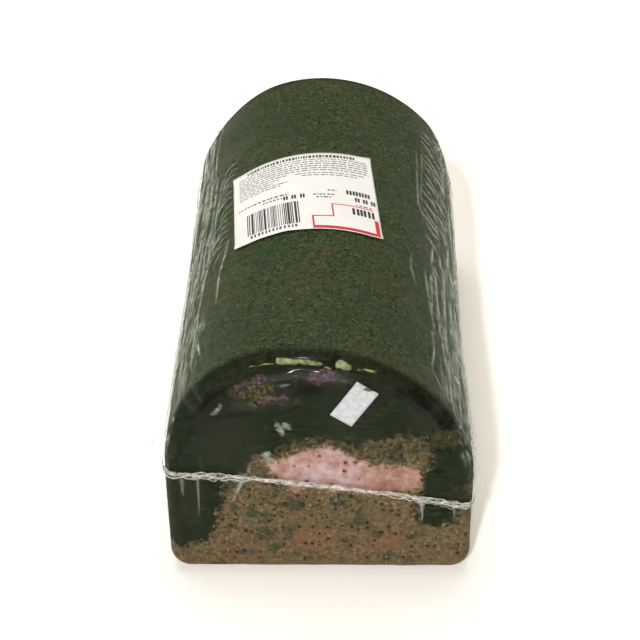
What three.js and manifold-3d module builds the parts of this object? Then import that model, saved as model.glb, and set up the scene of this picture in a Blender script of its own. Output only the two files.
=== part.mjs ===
// A moulded parsley ham loaf in clear shrink film, a paper label on its crown and a small sticker in front.
// Millimetres. X runs across the loaf, Y from the front face to the back, Z up; the base rests on Z = 0.
import * as THREE from 'three';
import { mergeVertices } from 'three/addons/utils/BufferGeometryUtils.js';
import Module from 'manifold-3d';

const wasm = await Module();
wasm.setup();

// The loaf: flat base, upright walls, elliptical arch.
const loafLength = 251;
const loafWidth = 134;
const wallHeight = 53;
const archRise = 64.5;
const baseCornerRadius = 10;
const endFilletRadius = 7;
const shoulderSkew = 1.2;
const frontLeanPerMm = 0.04;
const frontTwistPerMm2 = -0.00067;

// Slow swells of the wall and shoulders under the film.
const rightWaistDepth = 1.3;
const rightPuffHeight = 2.2;
const leftBackCut = 1.6;
const leftBackPuff = 2;
const backRise = 1.6;
const faceDish = 0.5;

// Film wrinkles that run along both sides.
const wrinkleStart = 38;
const wrinklesPerSide = 15;
const wrinkleHeightLeft = 1.3;
const wrinkleHeightRight = 1.6;
const wrinkleSlantLeft = 4;
const wrinkleSlantRight = 13;
const wrinkleSway = 0.7;

// Welded film seam that crosses each end face.
const seamMidHeight = 50.6;
const seamSlope = -0.11;
const seamBow = -0.0008;
const seamHalfWidth = 1.1;
const seamProud = 1.5;
const seamRoot = 1.2;
const seamCrinkle = 0.7;
const seamSteps = 46;
const gatherSpacing = 4.4;
const gatherProud = 0.9;
const gatherHalfWidth = 1.4;
const gatherLengthBelow = 9;
const gatherLengthAbove = 6;
const filmEarThickness = 0.9;

// Paper pieces stuck on the film.
const labelWidth = 69;
const labelDepth = 69.5;
const labelArcCentre = -8.4;
const labelLengthCentre = 4.7;
const labelTurn = 0.088;
const labelThickness = 0.4;
const stickerWidth = 10.5;
const stickerHeight = 20.6;
const stickerCentreX = 15.5;
const stickerCentreZ = 93.7;
const stickerTilt = 0.575;
const stickerThickness = 0.4;
const paperClearance = 0.35;

const halfWidth = loafWidth / 2;
const halfLength = loafLength / 2;
const archMeanRadius = (halfWidth + archRise) / 2;
const archQuarter = archMeanRadius * Math.PI / 2;
const wallEnd = archQuarter + wallHeight - baseCornerRadius;
const cornerEnd = wallEnd + baseCornerRadius * Math.PI / 2;
const baseMiddle = cornerEnd + halfWidth - baseCornerRadius;

const filmMaterial = new THREE.MeshStandardMaterial({ color: 0x3a4632, roughness: 0.3, metalness: 0 });
const paperMaterial = new THREE.MeshStandardMaterial({ color: 0xf4f3f0, roughness: 0.7, metalness: 0 });

function clamp01(value) {
  return Math.min(1, Math.max(0, value));
}

function smoothStep(from, to, value) {
  const t = clamp01((value - from) / (to - from));
  return t * t * (3 - 2 * t);
}

// A steady pseudo-random number from 0 to 1 for a whole-number seed.
function chance(seed) {
  const wave = Math.sin(seed * 12.9898 + 4.137) * 43758.5453;
  return wave - Math.floor(wave);
}

function bump(centre, halfSpan, value) {
  const t = clamp01(1 - Math.abs(value - centre) / halfSpan);
  return t * t * (3 - 2 * t);
}

// A point of the right half of the section and its outward normal, by distance down from the crown.
function halfSection(distance) {
  if (distance <= archQuarter) {
    const t = distance / archMeanRadius;
    const nx = Math.sin(t) / halfWidth;
    const nz = Math.cos(t) / archRise;
    const size = Math.hypot(nx, nz);
    const x = halfWidth * Math.sin(t);
    const z = wallHeight + archRise * Math.cos(t);
    return { x, z, nx: nx / size, nz: nz / size };
  }
  if (distance <= wallEnd) {
    return { x: halfWidth, z: wallHeight - (distance - archQuarter), nx: 1, nz: 0 };
  }
  if (distance <= cornerEnd) {
    const turn = (distance - wallEnd) / baseCornerRadius;
    const nx = Math.cos(turn);
    const nz = -Math.sin(turn);
    const centreX = halfWidth - baseCornerRadius;
    return { x: centreX + baseCornerRadius * nx, z: baseCornerRadius * (1 + nz), nx, nz };
  }
  return { x: baseMiddle - distance, z: 0, nx: 0, nz: -1 };
}

// The same point for a signed distance: positive on the right, negative on the left.
function sectionPoint(distance) {
  const point = halfSection(Math.abs(distance));
  const side = distance < 0 ? -1 : 1;
  return { x: side * point.x, z: point.z, nx: side * point.nx, nz: point.nz };
}

// Slow swell of the surface, along its normal, at a distance around and a share along the loaf.
function swell(distance, along) {
  const around = Math.abs(distance);
  if (around >= wallEnd) return 0;
  const skew = -shoulderSkew * Math.sin(2 * distance / archMeanRadius) * (around < archQuarter ? 1 : 0);
  const sideFade = 1 - smoothStep(wallEnd - 30, wallEnd, around);
  const lift = backRise * smoothStep(0.8, 1, along) * (1 - smoothStep(60, 90, around));
  if (distance > 0) {
    const waist = -rightWaistDepth * bump(0.48, 0.4, along) * smoothStep(55, 85, around) * sideFade;
    const puff = rightPuffHeight * bump(0.83, 0.2, along) * bump(64, 30, around);
    return skew + lift + waist + puff;
  }
  const cut = -leftBackCut * smoothStep(0.86, 1, along) * bump(58, 34, around);
  const puff = leftBackPuff * smoothStep(0.74, 0.9, along) * bump(92, 28, around);
  const rise = bump(0.68, 0.22, along) * bump(96, 36, around);
  return skew + lift + cut + puff + rise;
}

// How far down from the crown the film begins to wrinkle.
function wrinkleLimit(side, along) {
  if (side < 0) return 50 + 15 * smoothStep(0.62, 0.85, along);
  return 55 + 9 * smoothStep(0.5, 0.88, along) + 4 * smoothStep(0.4, 0.12, along);
}

// Distance around of a fold line, which is a crest when its number is odd and a valley when even.
function foldLine(side, line, along) {
  const share = line / (2 * wrinklesPerSide);
  const slant = side < 0 ? wrinkleSlantLeft : wrinkleSlantRight;
  const end = wallEnd - 2;
  const inside = Math.sin(Math.PI * share);
  const drift = -slant * (smoothStep(0.3, 1, along) - 0.5) * inside;
  const seed = line + (side < 0 ? 0 : 71);
  const sway = wrinkleSway * Math.sin(along * (4 + 5 * chance(seed)) + 6.3 * chance(seed + 9)) * inside;
  return side * (wrinkleStart + (end - wrinkleStart) * share + drift + sway);
}

// Height of the folds near a fold line; each rises and dies away along the loaf.
function foldHeight(side, line, along) {
  const seed = line + (side < 0 ? 13 : 157);
  const tall = (side < 0 ? wrinkleHeightLeft : wrinkleHeightRight) * (0.45 + 0.75 * chance(seed));
  const wave = 0.62 + 0.38 * Math.sin(along * (7 + 8 * chance(seed + 3)) + 6.3 * chance(seed + 5));
  const around = Math.abs(foldLine(side, line, along));
  const limit = wrinkleLimit(side, along);
  const above = smoothStep(limit - 3, limit + 8, around);
  const below = 1 - smoothStep(wallEnd - 16, wallEnd - 3, around);
  const ends = 0.3 + 0.7 * smoothStep(0, 0.05, along) * smoothStep(1, 0.95, along);
  return tall * wave * above * below * ends;
}

function foldOffset(side, line, along) {
  if (line % 2 === 1) return 0.3 * foldHeight(side, line, along);
  const before = line === 0 ? 0 : foldHeight(side, line - 1, along);
  const after = line === 2 * wrinklesPerSide ? 0 : foldHeight(side, line + 1, along);
  return -0.35 * (before + after);
}

// One ring of the loaf: { distance, offset } from the crown down the right side and back up the left.
function ringPlan(along) {
  const plan = [];
  const crownSteps = 6;
  const lines = 2 * wrinklesPerSide;
  const cornerSteps = 4;
  const crownStep = wrinkleStart / crownSteps;
  for (let i = 0; i < crownSteps; i += 1) plan.push({ distance: crownStep * i, offset: 0 });
  for (let i = 0; i <= lines; i += 1) {
    plan.push({ distance: foldLine(1, i, along), offset: foldOffset(1, i, along) });
  }
  for (let i = 0; i <= cornerSteps; i += 1) {
    plan.push({ distance: wallEnd + (cornerEnd - wallEnd) * i / cornerSteps, offset: 0 });
  }
  plan.push({ distance: (cornerEnd + baseMiddle) / 2, offset: 0 });
  plan.push({ distance: baseMiddle, offset: 0 });
  plan.push({ distance: -(cornerEnd + baseMiddle) / 2, offset: 0 });
  for (let i = cornerSteps; i >= 0; i -= 1) {
    plan.push({ distance: -(wallEnd + (cornerEnd - wallEnd) * i / cornerSteps), offset: 0 });
  }
  for (let i = lines; i >= 0; i -= 1) {
    plan.push({ distance: foldLine(-1, i, along), offset: foldOffset(-1, i, along) });
  }
  for (let i = crownSteps - 1; i > 0; i -= 1) plan.push({ distance: -crownStep * i, offset: 0 });
  return plan;
}

// The front face leans back towards its top and is a little twisted; the back face stands straight.
function faceShift(x, z, along) {
  return (frontLeanPerMm * z + frontTwistPerMm2 * x * z) * (1 - along);
}

// Stations along the loaf: distance from the front plane and how far the section is drawn in there.
function stations() {
  const list = [];
  const filletSteps = 5;
  const bodySteps = 22;
  for (let i = 0; i <= filletSteps; i += 1) {
    const turn = Math.PI / 2 * i / filletSteps;
    const inset = endFilletRadius * (1 - Math.sin(turn));
    list.push({ position: endFilletRadius * (1 - Math.cos(turn)), inset });
  }
  const straight = loafLength - 2 * endFilletRadius;
  for (let i = 1; i < bodySteps; i += 1) {
    list.push({ position: endFilletRadius + straight * i / bodySteps, inset: 0 });
  }
  for (let i = filletSteps; i >= 0; i -= 1) {
    const turn = Math.PI / 2 * i / filletSteps;
    const inset = endFilletRadius * (1 - Math.sin(turn));
    list.push({ position: loafLength - endFilletRadius * (1 - Math.cos(turn)), inset });
  }
  return list;
}

function loafPoint(distance, offset, position, inset) {
  const along = position / loafLength;
  const flat = sectionPoint(distance);
  const out = offset + swell(distance, along) - inset;
  const x = flat.x + flat.nx * out;
  const z = flat.z + flat.nz * out;
  return new THREE.Vector3(x, position - halfLength + faceShift(x, z, along), z);
}

// Rings that close an end face: the rim ring drawn in to a shallow dish, then to the middle.
function faceRings(rim, inward, along) {
  const shares = [0.94, 0.66, 0.34];
  const depths = [faceDish, faceDish, 0.6 * faceDish];
  const centreX = 0;
  const centreZ = (wallHeight + archRise) * 0.46;
  const shrink = (point, share, depth) => {
    const x = centreX + (point.x - centreX) * share;
    const z = centreZ + (point.z - centreZ) * share;
    const level = (along === 0 ? -halfLength : halfLength) + faceShift(x, z, along);
    return new THREE.Vector3(x, level + inward * depth, z);
  };
  const rings = shares.map((share, i) => rim.map((point) => shrink(point, share, depths[i])));
  return { rings, middle: shrink(rim[0], 0, 0.6 * faceDish) };
}

// A closed geometry from rings of equal length, with a middle point at either end.
function closedFromRings(rings, firstMiddle, lastMiddle) {
  const count = rings[0].length;
  const points = rings.flat();
  const first = points.length;
  const last = first + 1;
  points.push(firstMiddle, lastMiddle);
  const index = [];
  for (let r = 0; r + 1 < rings.length; r += 1) {
    for (let i = 0; i < count; i += 1) {
      const a = r * count + i;
      const b = r * count + (i + 1) % count;
      index.push(a, b + count, b, a, a + count, b + count);
    }
  }
  const tail = (rings.length - 1) * count;
  for (let i = 0; i < count; i += 1) {
    const next = (i + 1) % count;
    index.push(first, i, next);
    index.push(last, tail + next, tail + i);
  }
  return geometryFrom(points, index);
}

function middleOf(ring) {
  return ring.reduce((sum, p) => sum.add(p), new THREE.Vector3()).divideScalar(ring.length);
}

function geometryFrom(points, index) {
  const geometry = new THREE.BufferGeometry();
  const coordinates = points.flatMap((p) => [p.x, p.y, p.z]);
  geometry.setAttribute('position', new THREE.Float32BufferAttribute(coordinates, 3));
  geometry.setIndex(index);
  return geometry;
}

function loafGeometry() {
  const body = stations().map(({ position, inset }) => {
    const plan = ringPlan(position / loafLength);
    return plan.map((spot) => loafPoint(spot.distance, spot.offset, position, inset));
  });
  const front = faceRings(body[0], 1, 0);
  const back = faceRings(body[body.length - 1], -1, 1);
  const rings = [...front.rings.reverse(), ...body, ...back.rings];
  return closedFromRings(rings, front.middle, back.middle);
}

// Height of the weld line at a place across an end face.
function seamHeight(x, end) {
  return seamMidHeight + end * seamSlope * x + seamBow * x * x;
}

// Y of an end face at (x, z), following the rounded edge down at either side; end is 1 in front, -1 behind.
function endSurface(x, z, end) {
  const past = Math.min(endFilletRadius, Math.max(0, Math.abs(x) - (halfWidth - endFilletRadius)));
  const fall = endFilletRadius - Math.sqrt(endFilletRadius ** 2 - past ** 2);
  const dish = past > 0 ? 0 : faceDish;
  const along = end > 0 ? 0 : 1;
  return end * (-halfLength + fall + dish) + faceShift(x, z, along);
}

// The weld bead: a crinkled strip that lies on the face and stands a little proud of it.
function seamGeometry(end) {
  const reach = halfWidth + 0.6;
  const rings = [];
  for (let i = 0; i <= seamSteps; i += 1) {
    const x = -reach + 2 * reach * i / seamSteps;
    const seed = i + (end > 0 ? 0 : 500);
    const wobble = seamCrinkle * (Math.sin(x * 0.62) * 0.6 + 1.4 * (chance(seed) - 0.5));
    const z = seamHeight(x, end) + wobble;
    const half = seamHalfWidth * (0.8 + 0.5 * chance(seed + 40));
    const proud = seamProud * (0.75 + 0.5 * chance(seed + 80));
    const surface = endSurface(x, z, end);
    const ring = [
      new THREE.Vector3(x, surface + end * seamRoot, z - half),
      new THREE.Vector3(x, surface - end * 0.5 * proud, z - half),
      new THREE.Vector3(x, surface - end * proud, z - 0.3 * half),
      new THREE.Vector3(x, surface - end * 0.8 * proud, z + 0.6 * half),
      new THREE.Vector3(x, surface + end * seamRoot, z + half),
    ];
    rings.push(end > 0 ? ring : ring.reverse());
  }
  return closedFromRings(rings, middleOf(rings[0]), middleOf(rings[rings.length - 1]));
}

// A gather: a narrow fold that leaves the weld and dies away on the face.
function gatherGeometry(x, lean, length, end) {
  const root = seamHeight(x, end);
  const tipX = x + lean;
  const tipZ = root + length;
  const crestY = endSurface(x, root, end) - end * gatherProud;
  const buried = (px, pz, depth) => new THREE.Vector3(px, endSurface(px, pz, end) + end * depth, pz);
  const points = [
    buried(x - gatherHalfWidth, root, 0.3),
    buried(x + gatherHalfWidth, root, 0.3),
    new THREE.Vector3(x, crestY, root),
    buried(tipX, tipZ, 0.3),
    buried(x, root, seamRoot),
  ];
  const up = length * end > 0 ? 1 : -1;
  const faces = [[0, 2, 1], [0, 1, 4], [0, 3, 2], [2, 3, 1], [1, 3, 4], [4, 3, 0]];
  return geometryFrom(points, faces.flatMap((face) => (up > 0 ? face.slice().reverse() : face)));
}

function gatherGeometries(end) {
  const list = [];
  const reach = halfWidth - 9;
  const count = Math.floor(2 * reach / gatherSpacing);
  for (let i = 0; i <= count; i += 1) {
    const seed = i + (end > 0 ? 900 : 1400);
    const x = -reach + gatherSpacing * (i + 0.5 * chance(seed));
    const below = gatherLengthBelow * (0.4 + 0.8 * chance(seed + 31));
    list.push(gatherGeometry(x, 4 * (chance(seed + 47) - 0.5), -below, end));
    if (i % 2 === 0) {
      const above = gatherLengthAbove * (0.5 + 0.8 * chance(seed + 59));
      list.push(gatherGeometry(x + 1.6, 3 * (chance(seed + 63) - 0.5), above, end));
    }
  }
  return list;
}

// A thin flap of film between outline points, given thickness along one direction.
function flapGeometry(outline, thickness) {
  const near = outline.map((p) => p.clone().addScaledVector(thickness, -0.5));
  const far = outline.map((p) => p.clone().addScaledVector(thickness, 0.5));
  return closedFromRings([near, far], middleOf(near), middleOf(far));
}

// The loose corners of the film that stand off the walls at the two ends of the front weld.
function earGeometries() {
  const leftZ = seamHeight(-halfWidth, 1);
  const rightZ = seamHeight(halfWidth, 1);
  const left = [
    new THREE.Vector3(-halfWidth + 4, -halfLength + 6, leftZ - 1),
    new THREE.Vector3(-halfWidth - 1.5, -halfLength + 7, leftZ + 3),
    new THREE.Vector3(-halfWidth - 5, -halfLength + 9, leftZ + 9),
    new THREE.Vector3(-halfWidth - 4, -halfLength + 12, leftZ + 13),
    new THREE.Vector3(-halfWidth + 4, -halfLength + 20, leftZ + 13),
  ];
  const right = [
    new THREE.Vector3(halfWidth - 6, -halfLength + 5, rightZ - 1),
    new THREE.Vector3(halfWidth - 6, -halfLength + 62, rightZ + 16),
    new THREE.Vector3(halfWidth + 1, -halfLength + 50, rightZ + 12.4),
    new THREE.Vector3(halfWidth + 3, -halfLength + 32, rightZ + 7),
    new THREE.Vector3(halfWidth + 3.4, -halfLength + 14, rightZ + 1.7),
    new THREE.Vector3(halfWidth + 1.6, -halfLength + 5, rightZ - 1),
  ];
  const leftSpan = new THREE.Vector3(0, 0.5, -0.6).normalize().multiplyScalar(filmEarThickness);
  const rightSpan = new THREE.Vector3(0, -0.3, 1).normalize().multiplyScalar(filmEarThickness);
  return [flapGeometry(left, leftSpan), flapGeometry(right, rightSpan)];
}

function signedVolume(geometry) {
  const p = geometry.getAttribute('position');
  const index = geometry.getIndex();
  const a = new THREE.Vector3();
  const b = new THREE.Vector3();
  const c = new THREE.Vector3();
  let sum = 0;
  for (let i = 0; i < index.count; i += 3) {
    a.fromBufferAttribute(p, index.getX(i));
    b.fromBufferAttribute(p, index.getX(i + 1));
    c.fromBufferAttribute(p, index.getX(i + 2));
    sum += a.dot(b.cross(c)) / 6;
  }
  return sum;
}

function flipped(geometry) {
  const index = Array.from(geometry.getIndex().array);
  for (let i = 0; i < index.length; i += 3) [index[i + 1], index[i + 2]] = [index[i + 2], index[i + 1]];
  geometry.setIndex(index);
  return geometry;
}

function outward(geometry) {
  return signedVolume(geometry) < 0 ? flipped(geometry) : geometry;
}

function toManifold(geometry) {
  const clean = mergeVertices(outward(geometry), 0.0001);
  const mesh = new wasm.Mesh({
    numProp: 3,
    vertProperties: new Float32Array(clean.getAttribute('position').array),
    triVerts: new Uint32Array(clean.getIndex().array),
  });
  return new wasm.Manifold(mesh);
}

function fromManifold(solid) {
  const mesh = solid.getMesh();
  const geometry = new THREE.BufferGeometry();
  geometry.setAttribute('position', new THREE.Float32BufferAttribute(mesh.vertProperties, 3));
  geometry.setIndex(Array.from(mesh.triVerts));
  return geometry;
}

function wrappedLoaf() {
  const extras = [
    seamGeometry(1),
    seamGeometry(-1),
    ...gatherGeometries(1),
    ...gatherGeometries(-1),
    ...earGeometries(),
  ];
  const solid = extras.reduce((sum, piece) => sum.add(toManifold(piece)), toManifold(loafGeometry()));
  const mesh = new THREE.Mesh(fromManifold(solid), filmMaterial);
  mesh.name = 'wrapped_loaf';
  return mesh;
}

// A thin plate that follows a surface: place(u, v, height) gives its points for u and v from 0 to 1.
function plateGeometry(place, stepsU, stepsV, bottom, top) {
  const points = [];
  const index = [];
  const row = stepsV + 1;
  const layer = (stepsU + 1) * row;
  for (const height of [bottom, top]) {
    for (let i = 0; i <= stepsU; i += 1) {
      for (let j = 0; j <= stepsV; j += 1) points.push(place(i / stepsU, j / stepsV, height));
    }
  }
  for (let i = 0; i < stepsU; i += 1) {
    for (let j = 0; j < stepsV; j += 1) {
      const a = i * row + j;
      const b = a + row;
      index.push(a, a + 1, b + 1, a, b + 1, b);
      index.push(layer + a, layer + b + 1, layer + a + 1, layer + a, layer + b, layer + b + 1);
    }
  }
  const wall = (a, b) => index.push(a, b, b + layer, a, b + layer, a + layer);
  for (let i = 0; i < stepsU; i += 1) {
    wall(i * row, (i + 1) * row);
    wall((i + 1) * row + stepsV, i * row + stepsV);
  }
  for (let j = 0; j < stepsV; j += 1) {
    wall(j + 1, j);
    wall(stepsU * row + j, stepsU * row + j + 1);
  }
  return outward(geometryFrom(points, index));
}

// A point over the crown: the unrolled surface is measured around from the crown and along the loaf.
function crownPoint(aroundCrown, lengthwise, height) {
  const point = loafPoint(aroundCrown, 0, lengthwise + halfLength, 0);
  const flat = sectionPoint(aroundCrown);
  return new THREE.Vector3(point.x + flat.nx * height, point.y, point.z + flat.nz * height);
}

function paperLabel() {
  const place = (u, v, height) => {
    const across = (u - 0.5) * labelWidth;
    const back = (v - 0.5) * labelDepth;
    const around = labelArcCentre + across * Math.cos(labelTurn) - back * Math.sin(labelTurn);
    const lengthwise = labelLengthCentre + across * Math.sin(labelTurn) + back * Math.cos(labelTurn);
    return crownPoint(around, lengthwise, height);
  };
  const geometry = plateGeometry(place, 16, 6, paperClearance, paperClearance + labelThickness);
  const mesh = new THREE.Mesh(geometry, paperMaterial);
  mesh.name = 'label';
  return mesh;
}

function frontSticker() {
  const place = (u, v, height) => {
    const across = (u - 0.5) * stickerWidth;
    const up = (v - 0.5) * stickerHeight;
    const x = stickerCentreX + across * Math.cos(stickerTilt) + up * Math.sin(stickerTilt);
    const z = stickerCentreZ - across * Math.sin(stickerTilt) + up * Math.cos(stickerTilt);
    return new THREE.Vector3(x, endSurface(x, z, 1) - height, z);
  };
  const geometry = plateGeometry(place, 2, 4, paperClearance, paperClearance + stickerThickness);
  const mesh = new THREE.Mesh(geometry, paperMaterial);
  mesh.name = 'sticker';
  return mesh;
}

const part = new THREE.Group();
part.name = 'parsley_ham_loaf';
part.add(wrappedLoaf(), paperLabel(), frontSticker());

export default part;
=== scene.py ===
"""Parsley ham loaf in clear shrink film: the looks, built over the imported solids. Shapes below are in
millimetres and turned to metres when a mesh is made."""
import math

import bpy
import numpy as np
from mathutils import Matrix, Vector


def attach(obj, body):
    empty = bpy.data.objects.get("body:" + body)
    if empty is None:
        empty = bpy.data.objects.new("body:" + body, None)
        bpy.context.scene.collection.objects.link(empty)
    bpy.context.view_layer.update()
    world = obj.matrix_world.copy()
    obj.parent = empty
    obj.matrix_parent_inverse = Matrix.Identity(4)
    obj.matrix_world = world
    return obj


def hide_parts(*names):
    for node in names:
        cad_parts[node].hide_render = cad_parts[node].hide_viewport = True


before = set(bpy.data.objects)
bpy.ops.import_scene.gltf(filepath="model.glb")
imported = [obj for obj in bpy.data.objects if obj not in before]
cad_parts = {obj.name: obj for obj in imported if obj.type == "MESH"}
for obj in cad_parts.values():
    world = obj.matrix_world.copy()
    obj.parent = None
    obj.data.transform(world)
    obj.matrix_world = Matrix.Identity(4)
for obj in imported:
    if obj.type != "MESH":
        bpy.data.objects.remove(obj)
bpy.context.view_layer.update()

MM = 0.001

# ---------------------------------------------------------------- the loaf's form, as in its solid

LENGTH = 251.0
HALF_LENGTH = LENGTH / 2
HALF_WIDTH = 67.0
WALL = 53.0
RISE = 64.5
CORNER = 10.0
FILLET = 7.0
ARCH_MEAN = (HALF_WIDTH + RISE) / 2
ARCH_END = ARCH_MEAN * math.pi / 2
WALL_END = ARCH_END + WALL - CORNER
CORNER_END = WALL_END + CORNER * math.pi / 2
BASE_MIDDLE = CORNER_END + HALF_WIDTH - CORNER
FACE_CENTRE_Z = (WALL + RISE) * 0.46
RIM_ARC = FILLET * math.pi / 2

# Slow swells of the wall and shoulders under the film.
SHOULDER_SKEW = 1.2
RIGHT_WAIST = 1.3
RIGHT_PUFF = 2.2
LEFT_BACK_CUT = 1.6
LEFT_BACK_PUFF = 2.0
BACK_LIFT = 1.6
FRONT_LEAN = 0.04
FRONT_TWIST = -0.00067

# Long film folds on the left (-1) and the right (1) side.
WRINKLE_START = 38.0
WRINKLES = 15
FOLD_SLANT = {-1: 4.0, 1: 13.0}
FOLD_TALL = {-1: 1.3, 1: 1.6}

SEAM_HEIGHT, SEAM_SLOPE, SEAM_BOW = 50.6, -0.11, -0.0008
SKIN = 0.9  # from the film down to the ham
CROWN_HOLE = (-10.6, 43.6 - HALF_LENGTH)


def smooth(a, b, x):
    t = np.clip((np.asarray(x, float) - a) / (b - a), 0, 1)
    return t * t * (3 - 2 * t)


def bump(centre, half, x):
    t = np.clip(1 - np.abs(np.asarray(x, float) - centre) / half, 0, 1)
    return t * t * (3 - 2 * t)


def chance(seed):
    wave = math.sin(seed * 12.9898 + 4.137) * 43758.5453
    return wave - math.floor(wave)


def section(d):
    """Point and outward normal of the section at signed distance d from the crown: x, z, nx, nz."""
    d = np.asarray(d, float)
    side = np.where(d < 0, -1.0, 1.0)
    a = np.abs(d)
    t = np.clip(a, 0, ARCH_END) / ARCH_MEAN
    x, z = HALF_WIDTH * np.sin(t), WALL + RISE * np.cos(t)
    nx, nz = np.sin(t) / HALF_WIDTH, np.cos(t) / RISE
    size = np.hypot(nx, nz)
    nx, nz = nx / size, nz / size
    wall = (a > ARCH_END) & (a <= WALL_END)
    x, z = np.where(wall, HALF_WIDTH, x), np.where(wall, WALL - (a - ARCH_END), z)
    nx, nz = np.where(wall, 1, nx), np.where(wall, 0, nz)
    turn = np.clip(a - WALL_END, 0, CORNER_END - WALL_END) / CORNER
    corner = a > WALL_END
    cx, cz = np.cos(turn), -np.sin(turn)
    x = np.where(corner, HALF_WIDTH - CORNER + CORNER * cx, x)
    z = np.where(corner, CORNER * (1 + cz), z)
    nx, nz = np.where(corner, cx, nx), np.where(corner, cz, nz)
    base = a > CORNER_END
    x, z = np.where(base, BASE_MIDDLE - a, x), np.where(base, 0, z)
    nx, nz = np.where(base, 0, nx), np.where(base, -1, nz)
    return side * x, z, side * nx, nz


def swell(d, along):
    """Slow swell of the surface along its normal."""
    a = np.abs(d)
    skew = -SHOULDER_SKEW * np.sin(2 * d / ARCH_MEAN) * (a < ARCH_END)
    lift = BACK_LIFT * smooth(0.8, 1, along) * (1 - smooth(60, 90, a))
    fade = 1 - smooth(WALL_END - 30, WALL_END, a)
    waist = -RIGHT_WAIST * bump(0.48, 0.4, along) * smooth(55, 85, a) * fade
    puff = RIGHT_PUFF * bump(0.83, 0.2, along) * bump(64, 30, a)
    cut = -LEFT_BACK_CUT * smooth(0.86, 1, along) * bump(58, 34, a)
    rise = bump(0.68, 0.22, along) * bump(96, 36, a)
    back_puff = LEFT_BACK_PUFF * smooth(0.74, 0.9, along) * bump(92, 28, a)
    out = skew + lift + np.where(d > 0, waist + puff, cut + rise + back_puff)
    return np.where(a < WALL_END, out, 0)


def wrinkle_limit(side, along):
    if side < 0:
        return 50 + 15 * smooth(0.62, 0.85, along)
    return 55 + 9 * smooth(0.5, 0.88, along) + 4 * smooth(0.4, 0.12, along)


def fold_line(side, line, along):
    share = line / (2 * WRINKLES)
    inside = math.sin(math.pi * share)
    seed = line + (0 if side < 0 else 71)
    drift = -FOLD_SLANT[side] * (smooth(0.3, 1, along) - 0.5) * inside
    sway = 0.7 * np.sin(along * (4 + 5 * chance(seed)) + 6.3 * chance(seed + 9)) * inside
    return side * (WRINKLE_START + (WALL_END - 2 - WRINKLE_START) * share + drift + sway)


def fold_height(side, line, along):
    seed = line + (13 if side < 0 else 157)
    tall = FOLD_TALL[side] * (0.45 + 0.75 * chance(seed))
    wave = 0.62 + 0.38 * np.sin(along * (7 + 8 * chance(seed + 3)) + 6.3 * chance(seed + 5))
    around = np.abs(fold_line(side, line, along))
    limit = wrinkle_limit(side, along)
    above = smooth(limit - 3, limit + 8, around)
    below = 1 - smooth(WALL_END - 16, WALL_END - 3, around)
    ends = 0.3 + 0.7 * smooth(0, 0.05, along) * smooth(1, 0.95, along)
    return tall * wave * above * below * ends


def fold_offset(side, line, along):
    if line % 2:
        return 0.3 * fold_height(side, line, along)
    before = fold_height(side, line - 1, along) if line else 0
    after = fold_height(side, line + 1, along) if line < 2 * WRINKLES else 0
    return -0.35 * (before + after)


def folds(d, along):
    """Height of the long folds and nearness to a crest (1 on it), for distances d of one row of the loaf."""
    height, crest = np.zeros_like(d), np.zeros_like(d)
    for side in (-1, 1):
        lines = range(2 * WRINKLES + 1)
        at = np.array([abs(fold_line(side, i, along)) for i in lines])
        off = np.array([fold_offset(side, i, along) for i in lines])
        mine = (d * side > at[0]) & (d * side < at[-1])
        height = np.where(mine, np.interp(np.abs(d), at, off), height)
        near = np.abs(np.abs(d)[:, None] - at[1::2][None, :])
        glow = (np.exp(-(near / 0.5) ** 2) * np.clip(off[1::2] / 0.3, 0, 2)[None, :]).sum(1)
        crest = np.where(mine, glow, crest)
    # on the right shoulder the film puckers across the loaf instead
    calm = bump(0.72, 0.2, along) * (d > 0) * smooth(86, 78, np.abs(d))
    return height * (1 - 0.8 * calm), crest * (1 - calm)


def face_shift(x, z, along):
    return (FRONT_LEAN * z + FRONT_TWIST * x * z) * (1 - along)


def surface(d, position, inset, lift):
    """Points at distance d around, position along and inset for the rounded ends, lifted by lift."""
    along = position / LENGTH
    x, z, nx, nz = section(d)
    out = swell(d, along) - inset + lift
    px, pz = x + nx * out, z + nz * out
    return np.stack([px, position - HALF_LENGTH + face_shift(px, pz, along), pz], -1)


def stations(rows, fillet_rows=9):
    """(position, inset, run) from the front rim to the back rim; run unrolls the rounded ends."""
    turn = np.linspace(0, math.pi / 2, fillet_rows)
    spare = RIM_ARC - FILLET
    front = [(FILLET * (1 - math.cos(t)), FILLET * (1 - math.sin(t)), FILLET * t - spare) for t in turn]
    body = [(p, 0.0, p) for p in np.linspace(FILLET, LENGTH - FILLET, rows + 2)[1:-1]]
    back = [(LENGTH - p, i, LENGTH - r) for p, i, r in reversed(front)]
    return front + body + back


def seam_height(x, end=1):
    return SEAM_HEIGHT + end * SEAM_SLOPE * x + SEAM_BOW * x * x


def face_level(x, z, end=1):
    """Y of an end face, following its rounded edge near either wall."""
    past = np.clip(np.abs(x) - (HALF_WIDTH - FILLET), 0, FILLET)
    fall = FILLET - np.sqrt(FILLET ** 2 - past ** 2)
    along = 0 if end > 0 else 1
    return end * (-HALF_LENGTH + fall) + face_shift(x, z, along)


# ---------------------------------------------------------------- meshes and node helpers

def make_mesh(name, points, faces, smooth_shade=True):
    mesh = bpy.data.meshes.new(name)
    mesh.from_pydata((np.asarray(points) * MM).tolist(), [], faces)
    mesh.update()
    obj = bpy.data.objects.new(name, mesh)
    bpy.context.scene.collection.objects.link(obj)
    if smooth_shade:
        mesh.polygons.foreach_set("use_smooth", [True] * len(mesh.polygons))
    return obj


def add_values(obj, **fields):
    for name, values in fields.items():
        attribute = obj.data.attributes.new(name, "FLOAT", "POINT")
        attribute.data.foreach_set("value", np.asarray(values, np.float32).ravel())


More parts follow.
